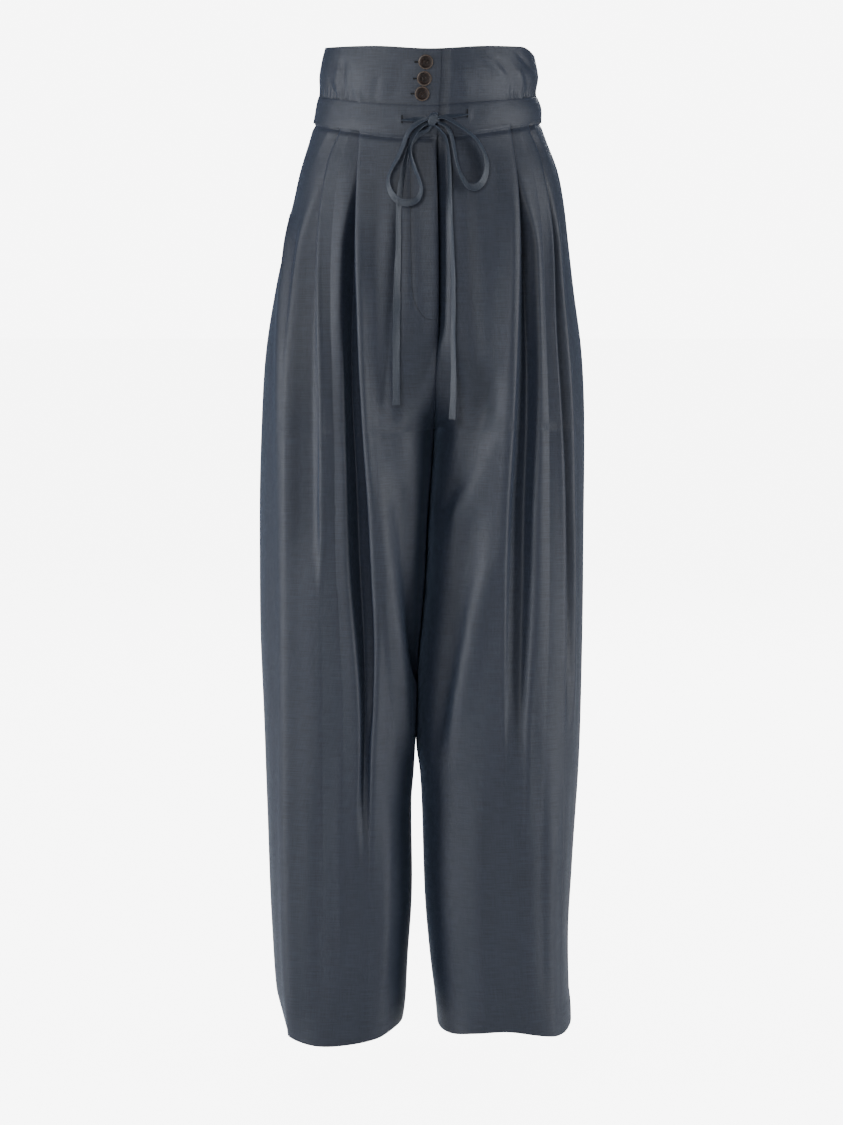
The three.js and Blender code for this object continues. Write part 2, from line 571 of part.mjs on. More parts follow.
// Turns every face over if the solid's volume comes out negative.
function facingOut(geometry) {
  const p = geometry.attributes.position;
  const index = geometry.index.array;
  const corner = (i) => new THREE.Vector3().fromBufferAttribute(p, index[i]);
  let volume = 0;
  for (let i = 0; i < index.length; i += 3) {
    volume += corner(i).dot(corner(i + 1).cross(corner(i + 2)));
  }
  if (volume < 0) {
    for (let i = 0; i < index.length; i += 3) [index[i + 1], index[i + 2]] = [index[i + 2], index[i + 1]];
  }
  geometry.computeVertexNormals();
  return geometry;
}

function solid(geometry) {
  const bare = geometry.clone();
  bare.deleteAttribute("normal");
  bare.deleteAttribute("uv");
  const merged = mergeVertices(bare);
  return new wasm.Manifold(new wasm.Mesh({
    numProp: 3,
    vertProperties: Float32Array.from(merged.attributes.position.array),
    triVerts: Uint32Array.from(merged.index.array),
  }));
}

function cut(geometry, tools) {
  let result = solid(geometry);
  for (const tool of tools) result = result.subtract(solid(tool));
  const { vertProperties, triVerts } = result.getMesh();
  const cutGeometry = new THREE.BufferGeometry();
  cutGeometry.setAttribute("position", new THREE.Float32BufferAttribute(vertProperties, 3));
  cutGeometry.setIndex([...triVerts]);
  cutGeometry.computeVertexNormals();
  return cutGeometry;
}

// Leg panels

const LEG_ROWS = {
  front: [-34, -60, -92, -135, -180, -217, -245, -275, -305, -326, -339, -345.5, -354, -376, -415,
    -470, -540, -610, -690, -780, -880, -980],
  back: [-50, -110, -170, -215, -255, -290, -318, -337, -345.5, -356, -385, -450, -560, -690,
    -840, -970],
};

// The heights at which the slanting top and bottom rows take their places on X from.
const LEG_ENDS = { top: -12, bottom: -1030 };

function legPoint(side, face, z, column) {
  const plan = legPlan(side, face, z);
  const stations = face === "front" ? frontStations(side, z, plan) : backStations(plan);
  const [s, v] = stations[column];
  const base = onPlan(plan, s);
  const out = v + foldHeight(side, face, z, s, plan);
  const forward = face === "front" ? flyHeight(side, z, s) : 0;
  const edge = column === 0 ? SEAM_GAP / 2 : 0;
  const end = column === stations.length - 1 ? SEAM_GAP / 2 : 0;
  const [nx, ny] = base.normal;
  const tangent = [-ny * plan.hand, nx * plan.hand];
  return [
    base.x + nx * out + tangent[0] * (edge - end),
    base.y + ny * out + tangent[1] * (edge - end) - forward,
  ];
}

function legPanel(side, face) {
  const frontWidth = FIELD.inner + 2 * PLEAT.stations + FIELD.outer;
  const width = face === "front" ? frontWidth : BACK_COLUMNS + 1;
  const columns = Array.from({ length: width }, (_, c) => c);
  const place = (z, c) => {
    const [x, y] = legPoint(side, face, z, c);
    return [x, y, z];
  };
  const edgeRow = (near, level) => columns.map((c) => {
    const [x] = legPoint(side, face, near, c);
    return place(level(x), c);
  });
  const topLevel = (x) => casingBottom(face, x) - SEAM_GAP;
  const rows = [
    edgeRow(LEG_ENDS.top, topLevel),
    ...LEG_ROWS[face].map((z) => columns.map((c) => place(z, c))),
    edgeRow(LEG_ENDS.bottom, (x) => at(HEM, "x", "z", x)),
  ];
  return clothWall(rows, LEG_WALL, sign(side) * (face === "front" ? 1 : -1));
}

// Corselet and casing

const backDip = (x) => BACK_CASING.dip * (1 - (x / BACK_CASING.halfWidth) ** 2);

function casingBottom(face, x) {
  if (face === "front") return at(CASING_BOTTOM, "x", "z", x);
  return BACK_CASING.bottom - backDip(x);
}

function casingTop(face, x) {
  if (face === "front") return at(CASING_TOP, "x", "z", x);
  return BACK_CASING.top - backDip(x);
}

function topEdge(face, x) {
  const { start, end, drop } = TOP_CORNER;
  const sunk = drop * Math.min(Math.max((x - start) / (end - start), 0), 1) ** 2;
  return (face === "front" ? at(TOP_EDGE, "x", "z", x) : BACK_TOP) - sunk;
}

// A point of the waist at an angle from the centre front, to the viewer's right.
function waistPoint(z, angle, out) {
  const sine = Math.sin(angle);
  const cosine = Math.cos(angle);
  const edge = at(FORM, "z", sine < 0 ? "left" : "right", z);
  const half = Math.abs(edge - WAIST_CENTRE_X) + out;
  const depth = Math.abs(at(FORM, "z", cosine > 0 ? "front" : "back", z)) + out;
  return [WAIST_CENTRE_X + half * sine, -depth * cosine];
}

function angleAtX(z, x) {
  const edge = at(FORM, "z", x < WAIST_CENTRE_X ? "left" : "right", z);
  return Math.asin((x - WAIST_CENTRE_X) / Math.abs(edge - WAIST_CENTRE_X));
}

const SIDE_ANGLE = { seam: Math.PI / 2, gap: 0.0012 };

// One panel of the waist between two edges in height and, by function, in angle.
function waistPanel({ piece, wall, columns, rows, from, to, level, tuck }) {
  const grid = [];
  for (let r = 0; r <= rows; r += 1) {
    const row = [];
    for (let c = 0; c <= columns; c += 1) {
      const guess = level(piece, 0)[0] * (1 - r / rows) + level(piece, 0)[1] * (r / rows);
      const angle = from(guess) + (to(guess) - from(guess)) * c / columns;
      const [x] = waistPoint(guess, angle, 0);
      const [top, bottom] = level(piece, x);
      const z = top + (bottom - top) * r / rows;
      row.push([...waistPoint(z, angle, -tuck(x, z)), z]);
    }
    grid.push(row);
  }
  const hand = piece === "front_right" ? -1 : 1;
  return clothWall(grid, wall, hand);
}

const centreX = (z) => at(CENTRE_FRONT, "z", "x", z);
const noTuck = () => 0;

// The left front passes under the right one and steps out beyond its edge.
function underTuck(depth) {
  return (x, z) => depth * (1 - smoothStep((x - centreX(z) - OVERLAP.cover) / OVERLAP.ramp));
}

// The three panels of one band: its name, wall, and its two edges as levels along X.
function waistBand(band, wall, level) {
  const seam = SIDE_ANGLE.seam - SIDE_ANGLE.gap;
  const panels = {
    front_right: { tuck: noTuck, from: (z) => angleAtX(z, centreX(z)), to: () => -seam },
    front_left: {
      tuck: underTuck(wall + OVERLAP.clear),
      from: (z) => angleAtX(z, centreX(z) - OVERLAP.reach),
      to: () => seam,
    },
    back: {
      tuck: noTuck,
      from: () => SIDE_ANGLE.seam + SIDE_ANGLE.gap,
      to: () => SIDE_ANGLE.seam * 3 - SIDE_ANGLE.gap,
    },
  };
  return Object.entries(panels).map(([piece, panel]) => {
    const grid = { columns: WAIST_COLUMNS[piece], rows: WAIST_ROWS[band] };
    return [`${band}_${piece}`, waistPanel({ piece, wall, level, ...grid, ...panel })];
  });
}

function corseletPanels() {
  const level = (piece, x) => {
    const face = piece === "back" ? "back" : "front";
    return [topEdge(face, x), casingTop(face, x) + SEAM_GAP];
  };
  return waistBand("corselet", CORSELET_WALL, level);
}

function casingPanels() {
  const level = (piece, x) => {
    const face = piece === "back" ? "back" : "front";
    return [casingTop(face, x), casingBottom(face, x)];
  };
  return waistBand("casing", CASING_WALL, level).map(([name, geometry]) => {
    const side = name.endsWith("front_right") ? "right" : "left";
    if (name.endsWith("back")) return [name, geometry];
    return [name, cut(geometry, [slit(SLIT_PLACES[side])])];
  });
}

function slit({ x, z }) {
  return new THREE.BoxGeometry(SLIT.width, SLIT.depth, SLIT.height).translate(x, SLIT.y, z);
}

// The plain strip behind the fly, sewn to the left front.
function flyShield() {
  const rows = SHIELD_LEVELS.map((z) => {
    const edge = centreEdge("right", "front", z);
    return [-SHIELD.reach, -SHIELD.reach / 2, 0, SHIELD.tuck].map((reach) => [
      edge[0] + reach, edge[1] - flyHeight("left", z, 0) + LEG_WALL + SEAM_GAP, z,
    ]);
  });
  return clothWall(rows, LEG_WALL, 1);
}

// Buttons

function button({ x, z }) {
  const { radius, thickness, backBevel, rimBevel, rimDrop, rimWidth, dishStart } = BUTTON;
  const profile = [
    [0, 0], [radius - backBevel, 0], [radius, backBevel], [radius, thickness - rimDrop],
    [radius - rimBevel, thickness], [radius - rimWidth, thickness],
    [radius - dishStart, thickness - BUTTON.dish], [0, thickness - BUTTON.dishMiddle],
  ].map(([r, h]) => new THREE.Vector2(r, h));
  const body = new THREE.LatheGeometry(profile, BUTTON.sides);
  const holes = [[1, 1], [1, -1], [-1, 1], [-1, -1]].map(([i, j]) => (
    new THREE.CylinderGeometry(BUTTON.hole, BUTTON.hole, thickness * 3, BUTTON.holeSides)
      .translate(i * BUTTON.spread, 0, j * BUTTON.spread)
  ));
  const front = (height) => waistPoint(height, angleAtX(z, x), CORSELET_WALL / 2)[1];
  const y = Math.min(front(z - radius), front(z), front(z + radius)) - BUTTON.lift;
  return cut(body, holes).rotateX(Math.PI).translate(x, y, z);
}

// The tie

// A flat tape along a route, its face turned to the front, with a crowned section. Its ends at
// the knot, 0 for the first and 1 for the last, are gathered.
function tape(route, pace, knotEnds) {
  const path = new THREE.CatmullRomCurve3(route.map((p) => new THREE.Vector3(...p)));
  const length = path.getLength();
  const steps = Math.round(length / pace);
  const forward = new THREE.Vector3(0, -1, 0);
  const halfWidth = (share) => {
    const near = Math.min(...knotEnds.map((end) => Math.abs(share - end) * length));
    const gathered = PINCH.share + (1 - PINCH.share) * smoothStep(near / PINCH.reach);
    return (TAPE.width / 2) * gathered;
  };
  const face = (out) => Array.from({ length: steps + 1 }, (_, i) => {
    const middle = path.getPointAt(i / steps);
    const tangent = path.getTangentAt(i / steps);
    const across = tangent.clone().cross(forward).normalize();
    const normal = across.clone().cross(tangent).normalize();
    return [-1, 0, 1].map((w) => middle.clone()
      .addScaledVector(across, w * halfWidth(i / steps))
      .addScaledVector(normal, out * (TAPE.thickness / 2) * (w === 0 ? 1 : TAPE.edgeShare))
      .toArray());
  });
  return closedGrid(face(1), face(-1));
}

function knot() {
  const shape = new THREE.SphereGeometry(0.5, KNOT.sides, KNOT.rings);
  return shape.scale(KNOT.width, KNOT.depth, KNOT.height).translate(KNOT.x, KNOT.y, KNOT.z);
}

// Assembly

const pants = new THREE.Group();

function add(name, geometry, material) {
  const mesh = new THREE.Mesh(geometry, material.clone());
  mesh.name = name;
  pants.add(mesh);
}

for (const [name, geometry] of [...corseletPanels(), ...casingPanels()]) add(name, geometry, CLOTH);
for (const side of ["right", "left"]) {
  for (const face of ["front", "back"]) add(`leg_${face}_${side}`, legPanel(side, face), CLOTH);
}
add("fly_shield", flyShield(), CLOTH);
BUTTON_PLACES.forEach((place, i) => add(`button_${i + 1}`, button(place), HORN));
add("drawstring_right_ribbon", tape(RIBBON_RIGHT, TAPE.pace.ribbon, [1]), CLOTH);
add("drawstring_left_ribbon", tape(RIBBON_LEFT, TAPE.pace.ribbon, [1]), CLOTH);
add("drawstring_right_loop", tape(LOOP_RIGHT, TAPE.pace.loop, [0, 1]), CLOTH);
add("drawstring_left_loop", tape(LOOP_LEFT, TAPE.pace.loop, [0, 1]), CLOTH);
add("drawstring_right_tail", tape(TAIL_RIGHT, TAPE.pace.tail, [0]), CLOTH);
add("drawstring_left_tail", tape(TAIL_LEFT, TAPE.pace.tail, [0]), CLOTH);
add("bow_knot", knot(), CLOTH);

export default pants;
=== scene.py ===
"""Wide-leg pants with a buttoned corselet waist, a tied casing and pleated fronts."""

import math

import bpy
import numpy as np
from mathutils import Matrix, Vector
from mathutils.bvhtree import BVHTree


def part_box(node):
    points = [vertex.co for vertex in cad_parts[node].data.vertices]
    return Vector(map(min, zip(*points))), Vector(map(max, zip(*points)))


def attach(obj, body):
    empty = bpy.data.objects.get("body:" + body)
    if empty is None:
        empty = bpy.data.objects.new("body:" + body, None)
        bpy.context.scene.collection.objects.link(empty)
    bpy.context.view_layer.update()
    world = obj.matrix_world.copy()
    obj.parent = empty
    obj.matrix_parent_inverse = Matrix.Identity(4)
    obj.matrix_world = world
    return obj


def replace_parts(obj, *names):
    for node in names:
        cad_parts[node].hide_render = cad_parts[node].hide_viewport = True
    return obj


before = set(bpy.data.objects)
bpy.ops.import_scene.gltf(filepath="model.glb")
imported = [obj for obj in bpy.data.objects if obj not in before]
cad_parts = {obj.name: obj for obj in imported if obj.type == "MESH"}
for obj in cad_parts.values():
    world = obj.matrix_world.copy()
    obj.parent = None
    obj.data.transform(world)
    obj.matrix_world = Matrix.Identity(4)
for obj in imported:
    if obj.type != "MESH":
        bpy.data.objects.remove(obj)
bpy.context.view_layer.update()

# The photograph: taken from four metres in front of the waist with a long lens, looking a
# little down at the knees. The picture is taller than wide.
CAMERA_PLACE = (-.0097, -4, 0)
CAMERA_DROP = .5
CAMERA_LENS = 150.74
SENSOR_WIDTH = 36


def add_camera():
    lens = bpy.data.cameras.new("camera")
    lens.sensor_fit = "HORIZONTAL"
    lens.sensor_width = SENSOR_WIDTH
    lens.lens = CAMERA_LENS
    camera = bpy.data.objects.new("camera", lens)
    camera.location = CAMERA_PLACE
    down = math.atan2(CAMERA_DROP, -CAMERA_PLACE[1])
    camera.rotation_euler = (math.pi / 2 - down, 0, 0)
    bpy.context.scene.collection.objects.link(camera)
    bpy.context.scene.camera = camera


add_camera()


# The tie: one narrow tube of the garment's own silk, pressed flat. It leaves the casing by two
# slits, is knotted once in the middle, and falls in two loops and two long tails, whose ends are
# turned in and stitched.
TAPE_WIDTH = .008
TAPE_WALL = .0009
TAPE_STEP = .0012
TAPE_CUP = {"height": .0005, "centre": .4}
ROUTE_STEPS = 24
TAPE_PINCH = {"share": .5, "reach": .018, "bulk": 1.1}
# Its edge in section, as shares of its half width and half thickness; the other half is turned.
TAPE_EDGE = [(-.96, .75), (-.82, 1), (-.6, .72), (0, .6), (.6, .72), (.82, 1), (.96, .75)]
TAPE_WAVES = {"edge": (.04, 160), "width": (.03, 21), "cup": 55}
TWIST_EASE = 8
RIBBON = {
    "right": [
        (-.031, -.0957, .0024), (-.0229, -.098, .0023), (-.0135, -.0996, .0025),
        (-.0039, -.1019, .0034),
    ],
    "left": [
        (.0405, -.092, .0086), (.0312, -.0955, .0071), (.0203, -.0979, .0056),
        (.0092, -.1019, .0046),
    ],
}
LOOP = {
    "right": [
        (-.0031, -.1058, .0029), (-.0072, -.1055, .0011), (-.013, -.1054, -.0015),
        (-.0202, -.1058, -.0069), (-.0254, -.1066, -.0145), (-.0304, -.1079, -.0274),
        (-.0363, -.109, -.0401), (-.0427, -.1098, -.0514), (-.0462, -.1107, -.0615),
        (-.0455, -.1121, -.0715), (-.0403, -.1138, -.0812), (-.0316, -.1151, -.0877),
        (-.0214, -.1157, -.0882), (-.0133, -.1154, -.0836), (-.01, -.1145, -.0736),
        (-.012, -.1131, -.0638), (-.0166, -.1112, -.053), (-.0205, -.109, -.0421),
        (-.0227, -.1073, -.0313), (-.0212, -.1064, -.0213), (-.017, -.1059, -.0128),
        (-.0113, -.1056, -.0069), (-.0033, -.1042, -.0021),
    ],
    "left": [
        (.0081, -.1055, .0037), (.0128, -.1039, .0044), (.0182, -.103, .0031),
        (.027, -.1025, -.0017),
        (.0394, -.1018, -.01), (.0503, -.1009, -.019), (.0565, -.1008, -.028),
        (.0609, -.102, -.0389),
        (.0621, -.1042, -.0498), (.0601, -.1068, -.0596), (.0555, -.1092, -.0676),
        (.0489, -.1109, -.0719), (.0419, -.1116, -.0702), (.0364, -.1113, -.0636),
        (.032, -.1103, -.0546), (.0287, -.1087, -.0437), (.0268, -.1068, -.0329),
        (.0248, -.1049, -.0215), (.0218, -.1035, -.0117), (.0167, -.1034, -.0045),
        (.0085, -.1039, -.0012),
    ],
}
TAIL = {
    "right": [
        (.0004, -.1033, -.0052), (-.0037, -.1023, -.01), (-.0108, -.1018, -.0134),
        (-.0179, -.1022, -.0197), (-.023, -.1035, -.0287), (-.0265, -.1054, -.0405),
        (-.0295, -.1078, -.0536), (-.0322, -.1102, -.0682), (-.0341, -.1126, -.0856),
        (-.035, -.1148, -.1019), (-.0352, -.1181, -.14), (-.0363, -.1211, -.175),
        (-.037, -.1227, -.215), (-.0375, -.1227, -.255), (-.0375, -.1228, -.31),
    ],
    "left": [
        (.0053, -.1037, -.005), (.011, -.1022, -.01), (.0152, -.1016, -.0154),
        (.0183, -.1024, -.0232),
        (.0198, -.1044, -.0335), (.0207, -.1072, -.0494), (.021, -.1102, -.0671),
        (.0213, -.1128, -.0856), (.022, -.1149, -.1019), (.0242, -.1183, -.145),
        (.0253, -.1207, -.19),
        (.0253, -.1209, -.24), (.0254, -.121, -.283), (.0243, -.121, -.326),
    ],
}
# Turns of the tape about its own line, in degrees, at shares of its length.
TWIST = {
    "ribbon_right": [(0, 62), (1, 40)],
    "ribbon_left": [(0, -60), (1, -40)],
    "loop_right": [(0, -40), (.12, -56), (.25, -62), (.36, -70), (.44, -34), (.52, 10), (.60, 50),
                   (.68, 66), (.76, 58), (.86, 64), (1, 46)],
    "loop_left": [(0, 44), (.12, 62), (.28, 70), (.4, 52), (.5, 36), (.58, -30), (.66, -66),
                  (.78, -70), (.9, -60), (1, -44)],
    "tail_right": [(0, 40), (.1, 56), (.25, 40), (.45, 46), (.6, 24), (.8, -14), (1, 4)],
    "tail_left": [(0, -50), (.1, -64), (.3, -48), (.5, -56), (.7, -50), (.85, -44), (1, -20)],
}
TAIL_HEM = {"length": .006, "bulk": .55, "ramp": .0003}
TAIL_STITCH = {"pace": .0017, "length": .0014, "width": .00035}
TAIL_STITCH_X = (-.0034, 0, .0034)
# Colours, dark and light.
SILK = ((.0151, .0203, .034, 1), (.0256, .0337, .0555, 1))
# The tie's colours: the body silk made paler, painted light on the tie.
PAINTED_LIGHT_SILK = ((.0235, .031, .046, 1), (.039, .0505, .072, 1))
THREAD_COLOUR = ((.014, .019, .03, 1), (.036, .047, .068, 1))
# The fly row's thread: real stitches, their near-black colour painted shade of the groove they lie
# in.
GROOVE_SHADE_THREAD_COLOUR = ((.005, .007, .012, 1), (.011, .015, .024, 1))
SHEEN_TINT = (.46, .63, .95, 1)
SILK_GLOSS = {"dull": .54, "bright": .40}
WEAVE_SIZES = {"Thread": .0007, "Slub length": .022, "Slub width": .0008}
WARP_SHARE = .7
THREAD_SHARE = {"Tone": .1, "Height": .35}
CLOUD = {"scale": 9, "share": .35}


def node(tree, kind, feeds=(), **values):
    """A shader or geometry node, with the inputs that are named, and what feeds its ports."""
    made = tree.nodes.new(kind)
    for name, value in values.items():
        if name in made.bl_rna.properties:
            setattr(made, name, value)
        else:
            made.inputs[name.replace("_", " ")].default_value = value
    for port, source in dict(feeds).items():
        if isinstance(source, bpy.types.NodeSocket):
            tree.links.new(source, made.inputs[port])
        else:
            made.inputs[port].default_value = source
    return made


def maths(tree, operation, *terms):
    """The result of one sum of sockets and plain numbers."""
    return node(tree, "ShaderNodeMath", enumerate(terms), operation=operation).outputs[0]


def ramp(tree, source, *stops):
    """A colour that follows a source, through two stops of place and colour."""
    made = node(tree, "ShaderNodeValToRGB", {0: source})
    for element, (place, colour) in zip(made.color_ramp.elements, stops):
        element.position, element.color = place, colour
    return made.outputs[0]


def surface(name, **values):
    """A new material, its tree, and the inputs of its surface, some of them given."""
    made = bpy.data.materials.new(name)
    made.use_nodes = True
    ports = made.node_tree.nodes["Principled BSDF"].inputs
    for port, value in values.items():
        ports[port.replace("_", " ")].default_value = value
    return made, made.node_tree, ports


def group_ports(tree, ports, sizes):
    """The ports of a node group: some by side and type, then its sizes, as numbers."""
    for name, side, kind in ports:
        tree.interface.new_socket(name, in_out=side, socket_type="NodeSocket" + kind)
    for name, value in sizes.items():
        port = tree.interface.new_socket(name, in_out="INPUT", socket_type="NodeSocketFloat")
        port.default_value = value
    return tree.nodes.new("NodeGroupInput").outputs, tree.nodes.new("NodeGroupOutput").inputs


def silk_weave():
    """Plain weave with slubs: fine uneven threads both ways, thicker ones across."""
    tree = bpy.data.node_groups.new("silk_weave", "ShaderNodeTree")
    given, result = group_ports(tree, [
        ("Cloth place", "INPUT", "Vector"), ("Tone", "OUTPUT", "Float"),
        ("Height", "OUTPUT", "Float")], WEAVE_SIZES)
    parts = node(tree, "ShaderNodeSeparateXYZ", {0: given["Cloth place"]}).outputs

    def streaks(across, along):
        place = node(tree, "ShaderNodeCombineXYZ", {
            "X": maths(tree, "DIVIDE", parts["X"], given[across]),
            "Y": maths(tree, "DIVIDE", parts["Y"], given[along])})
        return node(tree, "ShaderNodeTexNoise", {"Vector": place.outputs[0]},
                    noise_dimensions="2D", Scale=1, Detail=3).outputs[0]

    def threads(axis):
        count = maths(tree, "DIVIDE", parts[axis], given["Thread"])
        return maths(tree, "SINE", maths(tree, "MULTIPLY", count, 2 * math.pi))

    weft = streaks("Slub length", "Slub width")
    warp = streaks("Slub width", "Slub length")
    warp = maths(tree, "MULTIPLY_ADD", warp, WARP_SHARE, -WARP_SHARE / 2)
    streaked = maths(tree, "MULTIPLY_ADD", weft, 1, warp)
    cross = maths(tree, "MULTIPLY", threads("X"), threads("Y"))
    for port, share in THREAD_SHARE.items():
        tree.links.new(maths(tree, "MULTIPLY_ADD", cross, share, streaked), result[port])
    return tree


WEAVE = silk_weave()


def silk(name, colours):
    """Washed blue-grey silk: a soft satin gloss, a little sheen and heathered threads."""
    made, tree, ports = surface(name, Sheen_Weight=.22, Sheen_Roughness=.35,
                                Sheen_Tint=SHEEN_TINT, Specular_IOR_Level=.5)
    place = node(tree, "ShaderNodeUVMap", uv_map="cloth").outputs[0]
    weave = node(tree, "ShaderNodeGroup", node_tree=WEAVE)
    tree.links.new(place, weave.inputs["Cloth place"])
    where = node(tree, "ShaderNodeTexCoord").outputs["Object"]
    cloud = node(tree, "ShaderNodeTexNoise", {"Vector": where}, Scale=CLOUD["scale"], Detail=3)
    shade = maths(tree, "SUBTRACT", weave.outputs["Tone"], CLOUD["share"] / 2)
    tone = maths(tree, "MULTIPLY_ADD", cloud.outputs[0], CLOUD["share"], shade)
    gloss = node(tree, "ShaderNodeMapRange", {0: tone}, To_Min=SILK_GLOSS["dull"],
                 To_Max=SILK_GLOSS["bright"])
    bump = node(tree, "ShaderNodeBump", {"Height": weave.outputs["Height"]}, Strength=.5,
                Distance=.0002)
    tree.links.new(ramp(tree, tone, (.22, colours[0]), (.78, colours[1])), ports["Base Color"])
    tree.links.new(gloss.outputs[0], ports["Roughness"])
    tree.links.new(bump.outputs[0], ports["Normal"])
    return made


def thread_material(name, colours):
    """Spun thread, darker in its twist."""
    made, tree, ports = surface(name, Roughness=.55)
    where = node(tree, "ShaderNodeTexCoord").outputs["Object"]
    twist = node(tree, "ShaderNodeTexNoise", {"Vector": where}, Scale=2600, Detail=1).outputs[0]
    tree.links.new(ramp(tree, twist, (.35, colours[0]), (.65, colours[1])), ports["Base Color"])
    return made


BODY_SILK = silk("body_silk", SILK)
# The tie is the body's own silk with painted light: a paler copy of its colours.
TIE_SILK = silk("tie_silk", PAINTED_LIGHT_SILK)
THREAD = thread_material("cloth_thread", THREAD_COLOUR)
# Thread with painted shade, for the fly row's groove.
GROOVE_SHADE_THREAD = thread_material("groove_shade_thread", GROOVE_SHADE_THREAD_COLOUR)


def on_body(made):
    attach(made, "root")
    return made


def ring_faces(rows, sides, start=0):
    """Faces of a tube of rings of points, open at its two ends."""
    return [(start + i * sides + j, start + i * sides + (j + 1) % sides,
             start + (i + 1) * sides + (j + 1) % sides, start + (i + 1) * sides + j)
            for i in range(rows - 1) for j in range(sides)]


def tube_faces(rows, sides, start=0):
    """The same with both ends closed."""
    last = start + (rows - 1) * sides
    return ring_faces(rows, sides, start) + [
        tuple(start + j for j in range(sides))[::-1], tuple(last + j for j in range(sides))]


def piece(name, points, faces, material, uv=None, smooth=math.radians(40)):
    """An object at the origin from points and faces, smooth up to an angle."""
    mesh = bpy.data.meshes.new(name)
    mesh.from_pydata(np.asarray(points).tolist(), [], faces)
    if uv is not None:
        layer = mesh.uv_layers.new(name="cloth")
        corners = np.empty(len(mesh.loops), np.int32)
        mesh.loops.foreach_get("vertex_index", corners)
        layer.data.foreach_set("uv", np.asarray(uv, np.float32)[corners].ravel())
    mesh.materials.append(material)
    mesh.shade_smooth()
    mesh.set_sharp_from_angle(angle=smooth)
    made = bpy.data.objects.new(name, mesh)
    bpy.context.scene.collection.objects.link(made)
    return made


def through(points, pieces):
    """Points on a smooth line through the given ones, with so many between each two."""
    q = np.asarray(points, float)
    gap = np.maximum(np.linalg.norm(np.diff(q, axis=-2), axis=-1), 1e-9) ** .5
    step = gap[..., None]
    slope = np.diff(q, axis=-2) / step
    inner = (slope[..., :-1, :] + slope[..., 1:, :]
             - (q[..., 2:, :] - q[..., :-2, :]) / (step[..., :-1, :] + step[..., 1:, :]))
    tangent = np.concatenate([slope[..., :1, :], inner, slope[..., -1:, :]], axis=-2)
    counts = np.broadcast_to(pieces, (q.shape[-2] - 1,))
    rows = []
    for i, count in enumerate(counts):
        t = (np.arange(count) / count)[:, None]
        h = step[..., i:i + 1, :]
        rows.append((2 * t**3 - 3 * t**2 + 1) * q[..., i:i + 1, :]
                    + (t**3 - 2 * t**2 + t) * h * tangent[..., i:i + 1, :]
                    + (3 * t**2 - 2 * t**3) * q[..., i + 1:i + 2, :]
                    + (t**3 - t**2) * h * tangent[..., i + 1:i + 2, :])
    rows.append(q[..., -1:, :])
    return np.concatenate(rows, axis=-2)


def evenly(points, count):
    """So many points at equal lengths along a line."""
    run = np.r_[0, np.cumsum(np.linalg.norm(np.diff(points, axis=0), axis=1))]
    places = np.linspace(0, run[-1], count)
    return np.stack([np.interp(places, run, points[:, k]) for k in range(3)], axis=1), run[-1]


def smooth_step(t):
    c = np.clip(t, 0, 1)
    return c * c * (3 - 2 * c)


def unit(vectors):
    return vectors / np.maximum(np.linalg.norm(vectors, axis=-1, keepdims=True), 1e-12)


def tape(name, route, twist, knot_ends, hemmed=False):
    """A flat tape along its route, with rounded edges, gathered at the knot."""
    curve = through(route, ROUTE_STEPS)
    count = int(evenly(curve, 12)[1] / TAPE_STEP)
    line, length = evenly(curve, count)
    share = np.linspace(0, 1, count)
    along = unit(np.gradient(line, axis=0))
    across = unit(np.cross(along, (0, -1, 0)))
    face = np.cross(across, along)
    places, turns = zip(*twist)
    turn = np.radians(np.interp(share, places, turns))
    window = 2 * TWIST_EASE + 1
    turn = np.convolve(np.pad(turn, TWIST_EASE, mode="edge"), np.ones(window) / window, "valid")
    turn = turn[:, None]
    across, face = (across * np.cos(turn) + face * np.sin(turn),
                    face * np.cos(turn) - across * np.sin(turn))
    near = np.min([np.abs(share - end) * length for end in knot_ends], axis=0)
    gathered = TAPE_PINCH["share"] + (1 - TAPE_PINCH["share"]) * smooth_step(
        near / TAPE_PINCH["reach"])
    run = share * length
    (ripple, pace), (sway, swing) = TAPE_WAVES["edge"], TAPE_WAVES["width"]
    half = TAPE_WIDTH / 2 * gathered * (1 + ripple * np.sin(run * pace)
                                        - sway * np.sin(share * swing))
    wall = TAPE_WALL / 2 * (1 + TAPE_PINCH["bulk"] * (1 - gathered))
    cup = TAPE_CUP["height"] * np.sin(run * TAPE_WAVES["cup"] + 1)
    if hemmed:
        inside = np.minimum((length - run - TAIL_HEM["length"]) / TAIL_HEM["ramp"], 60)
        wall = wall * (1 + TAIL_HEM["bulk"] / (1 + np.exp(inside)))
    turned = [(-x, -y) for x, y in TAPE_EDGE]
    section = np.array([(-1, 0)] + TAPE_EDGE + [(1, 0)] + turned, float)
    bend = cup[:, None] * (section[:, 0] ** 2 - TAPE_CUP["centre"])
    grid = (line[:, None] + across[:, None] * (section[:, 0, None] * half[:, None, None])
            + face[:, None] * (section[:, 1] * wall[:, None] + bend)[..., None])
    uv = np.stack(np.broadcast_arrays(section[:, 0] * TAPE_WIDTH / 2, run[:, None]), axis=-1)
    made = piece(name, grid.reshape(-1, 3), tube_faces(count, len(section)), TIE_SILK,
                 uv.reshape(-1, 2))
    return on_body(made), line, across, face


def declare_tape(made, node_name):
    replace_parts(made, node_name)


STITCH_SIZES = {"Pace": .003, "Stitch length": .0022, "Thread width": .0005}


